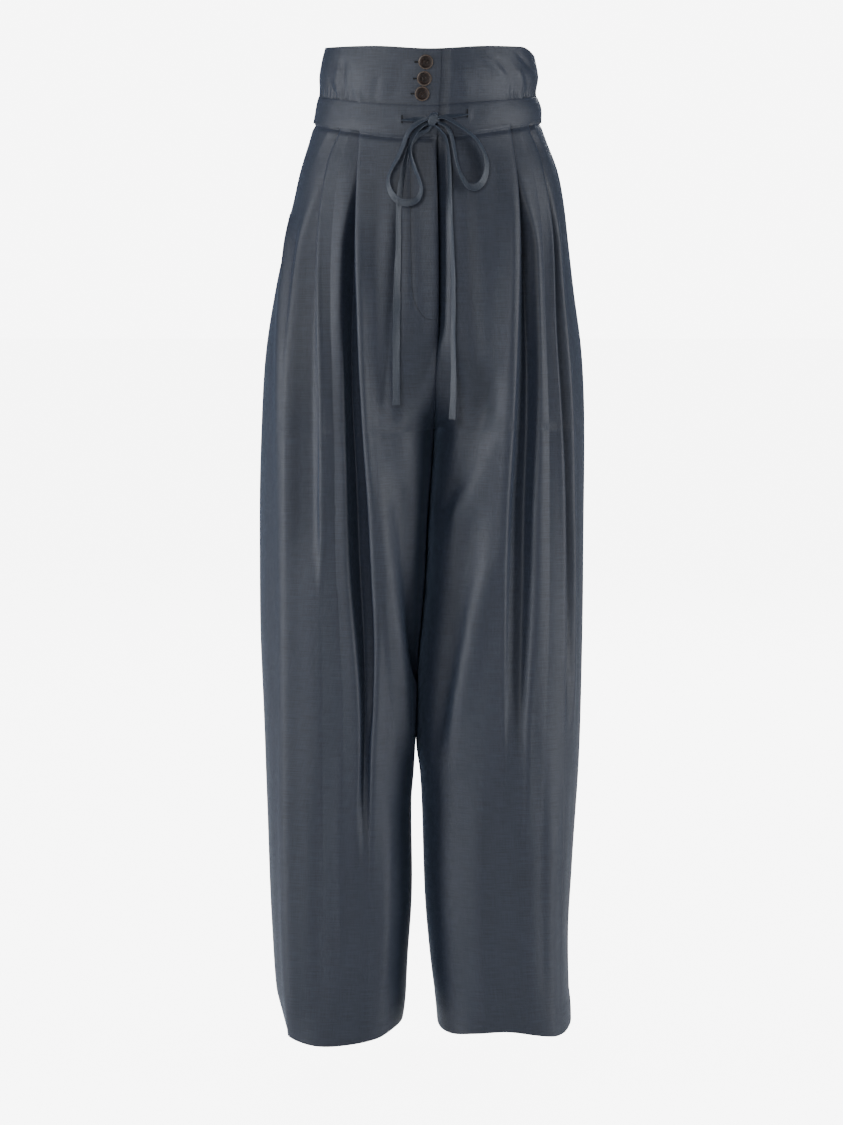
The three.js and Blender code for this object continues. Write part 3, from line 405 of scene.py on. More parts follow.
def stitch_tree():
    """A row of short stitches along a line."""
    tree = bpy.data.node_groups.new("stitch_row", "GeometryNodeTree")
    given, result = group_ports(tree, [
        ("Geometry", "INPUT", "Geometry"), ("Thread", "INPUT", "Material"),
        ("Geometry", "OUTPUT", "Geometry")], STITCH_SIZES)
    line = node(tree, "GeometryNodeMeshToCurve", {0: given["Geometry"]}).outputs[0]
    places = node(tree, "GeometryNodeCurveToPoints", {0: line, "Length": given["Pace"]},
                  mode="LENGTH").outputs
    bead = node(tree, "GeometryNodeMeshUVSphere", Segments=6, Rings=4, Radius=.5)
    width = given["Thread width"]
    size = node(tree, "ShaderNodeCombineXYZ", {0: width, 1: width, 2: given["Stitch length"]})
    sewn = node(tree, "GeometryNodeInstanceOnPoints", {
        "Points": places["Points"], "Instance": bead.outputs["Mesh"],
        "Rotation": places["Rotation"], "Scale": size.outputs[0]})
    real = node(tree, "GeometryNodeRealizeInstances", {0: sewn.outputs[0]})
    dressed = node(tree, "GeometryNodeSetMaterial", {0: real.outputs[0],
                                                     "Material": given["Thread"]})
    tree.links.new(dressed.outputs[0], result[0])
    return tree


STITCHES = stitch_tree()


def sew(name, lines, pace=.003, length=.0022, width=.0005, thread=THREAD):
    """Stitches along one or more lines, as one plain mesh."""
    points = np.concatenate(lines)
    ends = np.cumsum([len(line) for line in lines])
    edges = [(i, i + 1) for i in range(len(points) - 1) if i + 1 not in ends]
    mesh = bpy.data.meshes.new(name + "_line")
    mesh.from_pydata(points.tolist(), edges, [])
    guide = bpy.data.objects.new(name + "_line", mesh)
    bpy.context.scene.collection.objects.link(guide)
    rows = guide.modifiers.new("stitches", "NODES")
    rows.node_group = STITCHES
    given = {"Pace": pace, "Stitch length": length, "Thread width": width, "Thread": thread}
    for port in STITCHES.interface.items_tree:
        if port.in_out == "INPUT" and port.name in given:
            rows[port.identifier] = given[port.name]
    graph = bpy.context.evaluated_depsgraph_get()
    sewn = bpy.data.meshes.new_from_object(guide.evaluated_get(graph))
    sewn.name = name
    bpy.data.objects.remove(guide)
    bpy.data.meshes.remove(mesh)
    made = bpy.data.objects.new(name, sewn)
    bpy.context.scene.collection.objects.link(made)
    sewn.shade_smooth()
    return on_body(made)


# The knot is the tape wound once round the crossing, tight, with its edges pinched, over a core.
KNOT_PLACE = (.0027, -.1023, .0019)
WRAP = {"turns": 40, "sides": 14, "wide": .005, "front": .0036, "high": .006, "crown": .00165,
        "pinch": .22, "uneven": .05, "lean": .0016, "ridge": .0004, "crease": .00025}
CORE = {"rings": 9, "around": 18, "wide": .0074, "deep": .0032, "high": .0052, "crease": .08,
        "tip": .0076}


def knot_wrap():
    points = []
    for i in range(WRAP["turns"]):
        a = 2 * math.pi * i / WRAP["turns"]
        pinch = 1 - WRAP["pinch"] * math.sin(a) ** 2 + WRAP["uneven"] * math.sin(3 * a + 1)
        lean = WRAP["lean"] * math.sin(a)
        for j in range(WRAP["sides"]):
            b = 2 * math.pi * j / WRAP["sides"]
            over = (WRAP["ridge"] * math.cos(b * 3 + a * 2)
                    + WRAP["crease"] * math.cos(5 * b - a))
            wide = WRAP["wide"] * pinch * math.copysign(abs(math.cos(b)) ** .7, math.cos(b))
            deep = WRAP["crown"] * math.sin(b) + over
            points.append((wide + lean, -(WRAP["front"] + deep) * math.cos(a),
                           (WRAP["high"] + deep) * math.sin(a)))
    turns, sides = WRAP["turns"], WRAP["sides"]
    faces = ring_faces(turns, sides)
    last = (turns - 1) * sides
    faces += [(last + j, last + (j + 1) % sides, (j + 1) % sides, j) for j in range(sides)]
    return points, faces


def knot_core(start):
    """A closed core, its rings round X, with the numbers of its points from the start."""
    rings, around = CORE["rings"], CORE["around"]
    points = []
    for i in range(1, rings):
        polar = math.pi * i / rings
        for j in range(around):
            a = 2 * math.pi * j / around
            out = math.sin(polar) * (1 + CORE["crease"] * math.sin(3 * a + 4 * polar))
            points.append((-CORE["wide"] * math.cos(polar), CORE["deep"] * out * math.sin(a),
                           CORE["high"] * out * math.cos(a)))
    poles = [start + len(points), start + len(points) + 1]
    points += [(-CORE["tip"], 0, 0), (CORE["tip"], 0, 0)]
    faces = ring_faces(rings - 1, around, start)
    last = start + (rings - 2) * around
    for j in range(around):
        faces.append((poles[0], start + (j + 1) % around, start + j))
        faces.append((poles[1], last + j, last + (j + 1) % around))
    return points, faces


def tie_knot():
    points, faces = knot_wrap()
    core_points, core_faces = knot_core(len(points))
    points = np.array(points + core_points) + KNOT_PLACE
    made = piece("knot_wrap", points, faces + core_faces, TIE_SILK, points[:, (0, 2)])
    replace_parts(on_body(made), "bow_knot")


tie_knot()
TAIL_ENDS = []
for side in ("right", "left"):
    ribbon = tape(f"tie_ribbon_{side}", RIBBON[side], TWIST[f"ribbon_{side}"], [1])[0]
    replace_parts(ribbon, f"drawstring_{side}_ribbon")
    loop, line, _, _ = tape(f"tie_loop_{side}", LOOP[side], TWIST[f"loop_{side}"], [0, 1])
    declare_tape(loop, f"drawstring_{side}_loop")
    tail, line, across, face = tape(f"tie_tail_{side}", TAIL[side], TWIST[f"tail_{side}"],
                                    [0], hemmed=True)
    declare_tape(tail, f"drawstring_{side}_tail")
    back = -int(TAIL_HEM["length"] / TAPE_STEP)
    middle = line[back] + face[back] * TAPE_WALL * .75
    TAIL_ENDS.append(np.stack([middle + across[back] * w for w in TAIL_STITCH_X]))
sew("tail_end_stitches", TAIL_ENDS, **TAIL_STITCH)


# The legs: four wide panels of the silk, two pleats a side pressed outwards under the casing and
# left to fall open, joined at the sides, the centre and the inseam by plain pressed seams. Each
# runs unbroken from the casing to a deep turned hem. "right" is the wearer's right.
LEG_WALL = .0009
SEAM_DEPTH = .0007
SEAM_WIDTH = .0016
EDGE_CLEAR = .014
LEG_TOUCH = {"in": .0004, "end": -.74, "fade": .03}
HEM_DEPTH = .031
HEM_EXTRA = .0005
HEM_RAMP = .0025
LEG_TOP = .003
LEFT, RIGHT, FRONT, BACK = 1, 2, 3, 4
WEARER = {"right": (-1, LEFT), "left": (1, RIGHT)}
CROTCH = {"z": -.345, "y": .002, "front": -.238, "back": -.205, "roundness": 2.4,
          "measured_at": .75, "flattest": 1.12}
CROTCH_EASE = {"reach": .05, "edge": .03, "levels": 18}
WAIST_CENTRE = -.002
WAIST_HALF = .13
LEG_CENTRE = {"right": -.096, "left": .086}
# Columns of a front between its stations: the field inside the pleats, then the rest.
FRONT_COLUMNS = [11] * 3 + [5] * 27
BACK_COLUMNS = 96
PLAN_POINTS = {"inner": 64, "outer": 112}
BACK_CASING = {"top": .027, "bottom": -.002, "dip": .003}
# A pleat's pressed top, and its open fold below: a pair has the sharp folds' value first.
PLEAT = {"overlap": .007, "step": .0021, "turn": .0009, "lip": .0015, "sharp_to": .6,
         "deeper": (1.25, 1), "roll": (.0015, .0035), "undercut": (.0015, 0),
         "undercut_from": .007, "undercut_over": .008, "crown": .0002, "tip": .001}
# How much room a pleat takes on each side, in shares of what is there or in metres.
PLEAT_ROOM = {"lip": .75, "after": .45, "before": .98, "first": .022, "first_share": .4,
              "last": .008, "last_share": .7}
CASING_TUCK = {"depth": .0024, "reach": .009, "rise": .3, "edge": .006}
FLY = {"top": -.015, "end": -.217, "fade": .045, "least": .45, "top_fade": .03,
       "proud": .0035, "proud_width": .022, "turn_in": .008, "turn_width": .015}
RIPPLE = {"height": .00022, "drape": .0003, "drape_from": -.2, "drape_over": .4}


def table(rows):
    return np.array(sorted(rows), float)


def at(rows, column, place):
    """The value of a column at a place in the first one, smooth through the rows."""
    x, y = rows[:, 0], rows[:, column]
    slope = np.empty_like(y)
    slope[1:-1] = (y[2:] - y[:-2]) / (x[2:] - x[:-2])
    slope[0] = (y[1] - y[0]) / (x[1] - x[0])
    slope[-1] = (y[-1] - y[-2]) / (x[-1] - x[-2])
    p = np.clip(place, x[0], x[-1])
    i = np.clip(np.searchsorted(x, p, "right") - 1, 0, len(x) - 2)
    h = x[i + 1] - x[i]
    t = (p - x[i]) / h
    return ((2 * t**3 - 3 * t**2 + 1) * y[i] + (t**3 - 2 * t**2 + t) * h * slope[i]
            + (3 * t**2 - 2 * t**3) * y[i + 1] + (t**3 - t**2) * h * slope[i + 1])


# Half widths and depths of the whole garment, and how square its plan is.
FORM = table([  # z, left, right, front, back
    (.084, -.117, .1145, -.09, .086), (.066, -.1205, .1175, -.092, .087),
    (.048, -.123, .12, -.093, .088), (.03, -.1235, .118, -.0925, .088),
    (.014, -.126, .1225, -.094, .09), (-.003, -.13, .124, -.096, .092),
    (-.021, -.135, .13, -.098, .095), (-.055, -.1455, .143, -.105, .103),
    (-.09, -.1535, .15, -.11, .112), (-.14, -.164, .156, -.114, .122),
    (-.19, -.1745, .162, -.118, .129), (-.257, -.185, .171, -.12, .131),
    (-.325, -.19, .1745, -.12, .126), (-.43, -.193, .1745, -.118, .117),
    (-.57, -.193, .1735, -.114, .109), (-.705, -.1885, .171, -.11, .104),
    (-.845, -.1845, .163, -.105, .099), (-.917, -.1815, .159, -.103, .097),
    (-.988, -.177, .16, -.101, .095), (-1.012, -.171, .162, -.1, .094),
    (-1.04, -.164, .1625, -.099, .094),
])
ROUNDNESS = table([  # z, outer, right, left
    (0, 2, 2, 2), (-.09, 2.1, 2.1, 2.1), (-.2, 2.3, 2.3, 2.2), (-.33, 2.5, 3.4, 2.6),
    (-.5, 2.6, 3.6, 2.7), (-.65, 2.7, 3, 2.6), (-.8, 2.8, 2.7, 2.6), (-1.04, 3.1, 2.8, 2.7),
])
# The centre seams, the inseams, and how the middle of each leg parts from the other.
CENTRE_FRONT = table([  # z, x
    (.08, .012), (.042, .0109), (.009, .0087), (-.031, .0065), (-.086, .0077), (-.14, .0088),
    (-.217, .0088), (-.245, .0077), (-.345, .004),
])
CENTRE_BACK = table([  # z, x
    (.08, -.002), (-.2, -.001), (-.345, .004),
])
INNER_EDGE = table([  # z, right, left
    (-.345, .0032, .0048), (-.394, .0003, .0018), (-.439, -.0031, -.0016), (-.528, -.0076, -.0061),
    (-.601, -.0139, -.0124), (-.66, -.0159, -.0143), (-.706, -.0173, -.0154),
    (-.741, -.0188, -.0114), (-.776, -.0215, -.0092), (-.881, -.021, -.0058), (-.952, -.0255, 0),
    (-1.011, -.029, .007), (-1.04, -.034, .0095),
])
APEX = table([  # z, share, dip
    (-.01, 0, .0004), (-.06, 0.1, .0015), (-.12, 0.3, .004), (-.18, 0.55, .007),
    (-.238, 0.8, .012), (-.33, 1, .02),
])
CASING_BOTTOM = table([  # x, z
    (-.13, -.0025), (-.076, -.0105), (-.04, -.015), (.012, -.015), (.06, -.0095), (.126, 0),
])
HEM = table([  # x, z
    (-.172, -1.031), (-.15, -1.039), (-.113, -1.041), (-.06, -1.033), (-.034, -1.024),
    (.01, -1.031), (.026, -1.031), (.05, -1.027), (.09, -1.024), (.135, -1.031), (.152, -1.032),
    (.162, -1.027),
])
# Each pleat: where its valley is deepest, and its folded edge, how open it is, and its relief.
PLEATS = {  # how sharp its fold is; z, x, open, crest, valley, lip
    "right": [
        (.5, table([
            (-.012, -.0746, 0, .001, 0, .008), (-.04, -.0765, .3, .003, .006, .012),
            (-.066, -.078, .5, .004, .009, .015), (-.133, -.08, 1, .006, .014, .018),
            (-.2, -.079, 1, .007, .016, .02), (-.267, -.077, 1, .007, .016, .02),
            (-.328, -.074, 1, .007, .016, .022), (-.416, -.068, 1, .007, .017, .026),
            (-.497, -.064, 1, .006, .017, .028), (-.572, -.061, 1, .006, .015, .025),
            (-.641, -.062, 1, .005, .011, .019), (-.709, -.065, 1, .004, .006, .016),
            (-.8, -.066, 1, .0015, .0015, .02), (-.9, -.066, 1, 0, 0, .022),
            (-1.04, -.066, 1, 0, 0, .022),
        ])),
        (.32, table([
            (-.012, -.0977, 0, .001, 0, .012), (-.04, -.1095, .3, .003, .004, .018),
            (-.081, -.1175, .6, .005, .008, .026), (-.133, -.122, 1, .005, .009, .033),
            (-.2, -.123, 1, .005, .009, .038), (-.328, -.121, 1, .004, .008, .04),
            (-.439, -.12, 1, .0025, .005, .04), (-.52, -.12, 1, 0, 0, .04),
            (-1.04, -.118, 1, 0, 0, .036),
        ])),
    ],
    "left": [
        (.66, table([
            (-.012, .086, 0, .001, 0, .008), (-.04, .0898, .3, .003, .005, .012),
            (-.077, .093, .6, .005, .01, .02), (-.133, .0944, 1, .005, .014, .027),
            (-.222, .0924, 1, .005, .016, .03), (-.328, .088, 1, .004, .016, .033),
            (-.431, .082, 1, .003, .016, .036), (-.497, .08, 1, .0015, .014, .037),
            (-.562, .079, 1, .0005, .012, .036), (-.629, .079, 1, 0, .008, .033),
            (-.7, .079, 1, 0, .002, .03), (-.8, .079, 1, 0, 0, .03), (-1.04, .079, 1, 0, 0, .03),
        ])),
        (.4, table([
            (-.012, .1084, 0, .001, 0, .009), (-.032, .1175, .25, .003, .004, .014),
            (-.054, .123, .4, .004, .006, .016), (-.088, .1288, .7, .005, .008, .018),
            (-.133, .1324, 1, .006, .009, .02), (-.222, .135, 1, .006, .009, .024),
            (-.328, .142, 1, .006, .009, .024), (-.433, .147, 1, .005, .008, .022),
            (-.583, .15, 1, .003, .004, .02), (-.7, .15, 1, 0, 0, .02), (-1.04, .146, 1, 0, 0, .02),
        ])),
    ],
}
# Broad soft folds, then the narrow creases, as heights along their paths.
FOLDS = {  # width, height, fade, path of z, x
    ("right", "front"): [
        (.013, .005, .06, [
            (-.11, -.156), (-.222, -.165), (-.528, -.161), (-.9, -.161), (-1.04, -.156)]),
        (.015, .006, .08, [(-.4, -.054), (-.486, -.047), (-.615, -.033), (-.711, -.024)]),
        (.017, -.007, .09, [(-.4, -.034), (-.5, -.026), (-.64, -.014)]),
    ],
    ("left", "front"): [
        (.016, -.008, .08, [(-.29, .066), (-.361, .044), (-.433, .014)]),
        (.017, -.009, .09, [(-.43, .046), (-.52, .032), (-.69, .01)]),
        (.014, .005, .08, [(-.48, .066), (-.573, .045), (-.673, .022)]),
    ],
    ("right", "back"): [
        (.02, .007, .12, [(-.25, -.118), (-.6, -.112), (-1.04, -.104)]),
        (.018, -.008, .11, [(-.33, -.07), (-.6, -.06), (-.9, -.052)]),
    ],
    ("left", "back"): [
        (.02, .007, .12, [(-.26, .104), (-.6, .108), (-1.04, .1)]),
        (.018, -.008, .11, [(-.34, .062), (-.62, .056), (-.9, .058)]),
    ],
}
CREASES = {  # width, height, fade, path of z, x
    ("right", "front"): [
        (.0045, .0011, .05, [(-.6, -.085), (-.68, -.08), (-.76, -.0815), (-.83, -.08)]),
        (.004, -.0008, .05, [(-.62, -.076), (-.7, -.073), (-.79, -.075)]),
        (.005, .001, .06, [(-.36, -.095), (-.45, -.0935), (-.55, -.089), (-.6, -.085)]),
        (.006, .0012, .08, [(-.7, -.102), (-.8, -.103), (-.92, -.101)]),
        (.0035, .0008, .04, [(-.4, -.123), (-.46, -.122), (-.52, -.1225)]),
        (.006, -.0016, .05, [(-.1, -.03), (-.17, -.034), (-.26, -.042), (-.36, -.04)]),
        (.007, .0016, .06, [(-.09, -.044), (-.18, -.05), (-.3, -.054)]),
        (.0024, -.0008, .012, [
            (-.016, -.0219), (-.09, -.0219), (-.151, -.0209), (-.183, -.0198), (-.204, -.017)]),
        (.0035, .0009, .04, [(-.52, -.053), (-.58, -.048), (-.65, -.042), (-.71, -.04)]),
        (.009, -.0016, .1, [(-.75, -.124), (-.85, -.126), (-.99, -.125)]),
        (.01, .002, .1, [(-.78, -.048), (-.88, -.05), (-.99, -.054)]),
    ],
    ("left", "front"): [
        (.004, .0013, .05, [(-.58, .11), (-.66, .1085), (-.72, .1105), (-.8, .108)]),
        (.0035, -.0009, .04, [(-.62, .118), (-.7, .116), (-.76, .117)]),
        (.005, .0012, .05, [(-.52, .048), (-.58, .04), (-.65, .03), (-.72, .024)]),
        (.0035, .001, .04, [(-.55, .056), (-.61, .048), (-.67, .042)]),
        (.005, .0012, .06, [(-.4, .156), (-.5, .161), (-.6, .1625), (-.68, .159)]),
        (.007, .0016, .06, [(-.05, .022), (-.12, .024), (-.2, .026), (-.27, .024)]),
        (.008, -.0016, .08, [(-.08, .04), (-.18, .044), (-.3, .056)]),
        (.009, .0018, .1, [(-.74, .056), (-.86, .054), (-.99, .06)]),
        (.007, -.0014, .08, [(-.72, .128), (-.84, .126), (-.97, .129)]),
        (.01, .0018, .08, [(-.78, .14), (-.9, .138), (-1.04, .14)]),
    ],
    ("right", "back"): [
        (.007, -.002, .06, [(-.24, -.016), (-.31, -.044), (-.37, -.08)]),
        (.006, .0016, .06, [(-.27, -.024), (-.34, -.056), (-.4, -.09)]),
        (.006, -.0016, .05, [(-.33, -.016), (-.4, -.036), (-.47, -.052)]),
        (.011, .0024, .1, [(-.45, -.138), (-.62, -.142), (-.8, -.14)]),
    ],
    ("left", "back"): [
        (.007, -.002, .06, [(-.25, .016), (-.32, .042), (-.38, .076)]),
        (.006, .0016, .06, [(-.28, .024), (-.35, .054), (-.41, .084)]),
        (.006, -.0016, .05, [(-.34, .016), (-.41, .034), (-.48, .05)]),
        (.011, .0024, .1, [(-.47, .13), (-.64, .134), (-.82, .132)]),
    ],
}


def casing_bottom(face, x):
    if face == "front":
        return at(CASING_BOTTOM, 1, x)
    return BACK_CASING["bottom"] - BACK_CASING["dip"] * (1 - (x / WAIST_HALF) ** 2)


def centre_edge(side, face, z):
    """The centre seam above the crotch and the inseam below it."""
    outer = FRONT if face == "front" else BACK
    line = CENTRE_FRONT if face == "front" else CENTRE_BACK
    start = CROTCH[face]
    out, _ = WEARER[side]
    edge = at(FORM, outer, z)
    x = at(line, 1, z)
    y = edge - np.sign(edge) * at(APEX, 2, z)
    rise = np.clip((z - CROTCH["z"]) / (start - CROTCH["z"]), 0, 1)
    fill = (1 - (1 - rise) ** CROTCH["roundness"]) ** (1 / CROTCH["roundness"])
    y = CROTCH["y"] + (y - CROTCH["y"]) * fill
    below = z < CROTCH["z"]
    inner = at(INNER_EDGE, 1 if side == "right" else 2, z)
    inner = inner - out * LEG_TOUCH["in"] * smooth_step(
        (z - LEG_TOUCH["end"]) / LEG_TOUCH["fade"])
    return np.where(below, inner, x), np.where(below, CROTCH["y"], y)


def inner_roundness(side, face, z, edge_y, top_y):
    """Flatter over the crotch, so that the panel passes on to the leg below without a step."""
    given = at(ROUNDNESS, 2 if side == "right" else 3, z)
    start = CROTCH[face]

    def height(n):
        return (1 - CROTCH["measured_at"] ** n) ** (1 / n)

    leg = CROTCH["y"] + (top_y - CROTCH["y"]) * height(given)
    body = edge_y + (top_y - edge_y) * height(given)
    rise = smooth_step((z - CROTCH["z"]) / (start - CROTCH["z"]))
    span = np.where(np.abs(top_y - edge_y) < 1e-6, 1, top_y - edge_y)
    wanted = (leg + (body - leg) * rise - edge_y) / span
    low, high = np.full_like(z, CROTCH["flattest"]), given.copy()
    for _ in range(20):
        middle = (low + high) / 2
        less = height(middle) < wanted
        low = np.where(less, middle, low)
        high = np.where(less, high, middle)
    over = (z > CROTCH["z"]) & (z < start)
    return np.where(over, high, given)


def leg_plans(side, face, z):
    """Plans of one leg's face at each height, from its centre edge to the side seam."""
    out, seam = WEARER[side]
    edge_x, edge_y = centre_edge(side, face, z)
    start = np.full_like(z, WAIST_CENTRE) if side == "right" or face == "back" else edge_x + .001
    top_x = start + (LEG_CENTRE[side] - start) * at(APEX, 1, z)
    top_y = at(FORM, FRONT if face == "front" else BACK, z)
    seam_x = at(FORM, seam, z)
    inner = inner_roundness(side, face, z, edge_y, top_y)[:, None]
    outer = at(ROUNDNESS, 1, z)[:, None]
    count = PLAN_POINTS["inner"]
    a = smooth_step(np.arange(count) / count) * math.pi / 2
    x1 = top_x[:, None] + (edge_x - top_x)[:, None] * np.cos(a) ** (2 / inner)
    y1 = edge_y[:, None] + (top_y - edge_y)[:, None] * np.sin(a) ** (2 / inner)
    b = smooth_step(np.linspace(0, 1, PLAN_POINTS["outer"])) * math.pi / 2
    x2 = top_x[:, None] + (seam_x - top_x)[:, None] * np.sin(b) ** (2 / outer)
    y2 = top_y[:, None] * np.clip(np.cos(b), 0, 1) ** (2 / outer)
    x, y = np.concatenate([x1, x2], 1), np.concatenate([y1, y2], 1)
    step = np.hypot(np.diff(x, axis=1), np.diff(y, axis=1))
    run = np.concatenate([np.zeros((len(z), 1)), np.cumsum(step, axis=1)], 1)
    hand = out * (1 if face == "front" else -1)
    return x, y, run, hand


def length_at(plans, x, out):
    """The length along each plan at which it passes a place on X."""
    px, _, run, _ = plans
    return np.array([np.interp(x[k] * out, px[k] * out, run[k]) for k in range(len(x))])


def pleat_profile(throat, rows, z, before, after):
    """Ten stations across a pleat: lengths towards the side, and heights out of the cloth."""
    open_ = np.clip(at(rows, 2, z), 0, 1)
    crest, valley, lip = (at(rows, k, z) for k in (3, 4, 5))
    soft = 1 if throat > PLEAT["sharp_to"] else 0
    valley = valley * PLEAT["deeper"][soft]
    roll = PLEAT["roll"][soft]
    deep = lip * throat
    half, step, turn = PLEAT["overlap"] / 2, PLEAT["step"], PLEAT["turn"]
    one, none = np.ones_like(z), np.zeros_like(z)
    under = smooth_step((valley - PLEAT["undercut_from"]) / PLEAT["undercut_over"]) * (1 - soft)
    wall = deep * .35 * (1 - under) - PLEAT["undercut"][soft] * under
    rise = PLEAT["lip"] * np.minimum(valley / PLEAT["undercut_over"], 1)
    pressed = [(-before, none), (-before * .55, one * PLEAT["crown"]), (one * half, none),
               (one * (half + turn), -one * step / 2), (one * half, -one * step),
               (-one * half, -one * step), (-one * (half + turn), -one * step * 1.5),
               (-one * half, -one * step * 2), (one * (half + PLEAT["tip"]), -one * step * 2),
               (after, none)]
    free = [(-before, none), (-before * .45, crest * .55), (-one * roll, crest),
            (one * roll, crest * .6), (wall, -valley * .45), (deep * .7, -valley * .88),
            (deep, -valley), (deep + (lip - deep) * .45, -valley * .6), (lip, rise),
            (after, none)]
    return [(u0 + (u1 - u0) * open_, v0 + (v1 - v0) * open_)
            for (u0, v0), (u1, v1) in zip(pressed, free)]


def front_stations(side, z, plans):
    out, _ = WEARER[side]
    (throat1, first), (throat2, second) = PLEATS[side]
    length = plans[2][:, -1]
    s1 = length_at(plans, at(first, 1, z), out)
    s2 = length_at(plans, at(second, 1, z), out)
    between = s2 - s1
    room = PLEAT_ROOM
    lip1 = np.minimum(at(first, 5, z), between * room["lip"])
    after1 = lip1 + (between - lip1) * room["after"]
    before2 = (between - after1) * room["before"]
    before1 = np.minimum(room["first"], s1 * room["first_share"])
    after2 = np.minimum(at(second, 5, z) + room["last"], (length - s2) * room["last_share"])
    none = np.zeros_like(z)
    rows = [((s1 - before1) * i / 4, none) for i in range(4)]
    rows += [(s1 + u, v) for u, v in pleat_profile(throat1, first, z, before1, after1)]
    rows += [(s2 + u, v) for u, v in pleat_profile(throat2, second, z, before2, after2)]
    rest = length - s2 - after2
    rows += [(s2 + after2 + rest * i / 7, none) for i in range(1, 8)]
    stations = np.stack([np.stack(row, -1) for row in rows], 1)
    return through(stations, FRONT_COLUMNS)


def back_stations(z, plans):
    length = plans[2][:, -1]
    s = length[:, None] * np.linspace(0, 1, BACK_COLUMNS)
    return np.stack([s, np.zeros_like(s)], -1)


def relief(side, face, z, s, plans):
    """The soft folds and creases of one panel, kept off its edges."""
    out, _ = WEARER[side]
    length = plans[2][:, -1]
    height = np.zeros_like(s)
    for width, rise, fade, path in FOLDS[side, face] + CREASES[side, face]:
        rows = table(path)
        top, bottom = rows[-1, 0], rows[0, 0]
        ends = smooth_step((top + fade / 2 - z) / fade)
        if bottom > -1:
            ends = ends * smooth_step((z - bottom + fade / 2) / fade)
        away = (s - length_at(plans, at(rows, 1, z), out)[:, None]) / width
        height += rise * ends[:, None] * np.exp(-away ** 2)
    deep = z[:, None]
    height += RIPPLE["height"] * np.sin(s * 61 + deep * 9) * np.sin(deep * 23 + s * 5)
    lower = smooth_step((RIPPLE["drape_from"] - deep) / RIPPLE["drape_over"])
    height += RIPPLE["drape"] * np.sin(s * 27 - deep * 4 + 2) * lower
    inside = smooth_step(s / EDGE_CLEAR) * smooth_step((length[:, None] - s) / EDGE_CLEAR)
    return height * inside


def fly_height(side, z, s):
    """The wearer's right edge of the fly stands proud, and the left one turns in."""
    down = smooth_step((z - FLY["end"] + FLY["fade"]) / FLY["fade"])
    least = FLY["least"]
    upper = least + (1 - least) * smooth_step((FLY["top"] - z) / FLY["top_fade"])
    if side == "right":
        return FLY["proud"] * down * upper * (1 - smooth_step(s / FLY["proud_width"]))
    return -FLY["turn_in"] * down * upper * (1 - smooth_step(s / FLY["turn_width"]))


def leg_sheets(side, face, z):
    """Mid-points of the cloth at each height: rows of x, y along the stations."""
    plans = leg_plans(side, face, z)
    x, y, run, hand = plans
    stations = front_stations(side, z, plans) if face == "front" else back_stations(z, plans)
    s, v = stations[..., 0], stations[..., 1]
    length = run[:, -1:]
    rows = range(len(z))
    seen = np.array([np.interp(s[k], run[k], x[k]) for k in rows])
    below = (casing_bottom(face, seen) - z[:, None]) / CASING_TUCK["reach"]
    tuck = smooth_step(below / CASING_TUCK["rise"]) * smooth_step(1 - below)
    tuck = tuck * smooth_step(s / CASING_TUCK["edge"])
    v = v + relief(side, face, z, s, plans) - CASING_TUCK["depth"] * tuck
    seam = np.exp(-((length - s) / SEAM_WIDTH) ** 2)
    v = v - SEAM_DEPTH * seam
    tx = np.gradient(x, axis=1) / np.maximum(np.gradient(run, axis=1), 1e-9)
    ty = np.gradient(y, axis=1) / np.maximum(np.gradient(run, axis=1), 1e-9)
    px, py, dx, dy = (np.array([np.interp(s[k], run[k], line[k]) for k in rows])
                      for line in (x, y, tx, ty))
    scale = np.maximum(np.hypot(dx, dy), 1e-9)
    dx, dy = dx / scale, dy / scale
    px, py = px + hand * dy * v, py - hand * dx * v
    if face == "front":
        py = py - fly_height(side, z[:, None], s)
    near = np.exp(-((z - CROTCH["z"]) / CROTCH_EASE["reach"]) ** 2)[:, None]
    near = near * smooth_step(s / CROTCH_EASE["edge"])
    return eased(px, near), eased(py, near)


def eased(line, share):
    """A panel's points evened out up and down it, as far as each point's share says."""
    half = CROTCH_EASE["levels"]
    weight = np.exp(-(np.arange(-half, half + 1) / (half / 2)) ** 2)
    held = np.pad(line, ((half, half), (0, 0)), mode="edge")
    soft = sum(w * held[i:i + len(line)] for i, w in enumerate(weight / weight.sum()))
    return line + (soft - line) * share


def cloth_shell(name, middle, wall, hand, material, uv):
    """A closed sheet of cloth about a grid of mid-points, and its outer face."""
    across = np.gradient(middle, axis=1)
    down = np.gradient(middle, axis=0)
    away = unit(np.cross(across, down)) * hand
    half = (np.broadcast_to(wall, middle.shape[:2]) / 2)[..., None]
    outer, inner = middle + away * half, middle - away * half
    rows, columns = middle.shape[:2]
    o = np.arange(rows * columns).reshape(rows, columns)
    n = o + rows * columns

    def quads(a, b, c, d):
        return np.stack([a.ravel(), b.ravel(), c.ravel(), d.ravel()], 1)

    faces = np.concatenate([
        quads(o[:-1, :-1], o[:-1, 1:], o[1:, 1:], o[1:, :-1]),
        quads(n[:-1, :-1], n[1:, :-1], n[1:, 1:], n[:-1, 1:]),
        quads(o[0, :-1], n[0, :-1], n[0, 1:], o[0, 1:]),
        quads(o[-1, :-1], o[-1, 1:], n[-1, 1:], n[-1, :-1]),
        quads(o[:-1, 0], o[1:, 0], n[1:, 0], n[:-1, 0]),
        quads(o[:-1, -1], n[:-1, -1], n[1:, -1], o[1:, -1]),
    ])
    if hand < 0:
        faces = faces[:, ::-1]
    points = np.concatenate([outer.reshape(-1, 3), inner.reshape(-1, 3)])
    both = np.concatenate([uv.reshape(-1, 2)] * 2)
    made = piece(name, points, faces.tolist(), material, both, smooth=math.radians(60))
    return on_body(made), outer, away


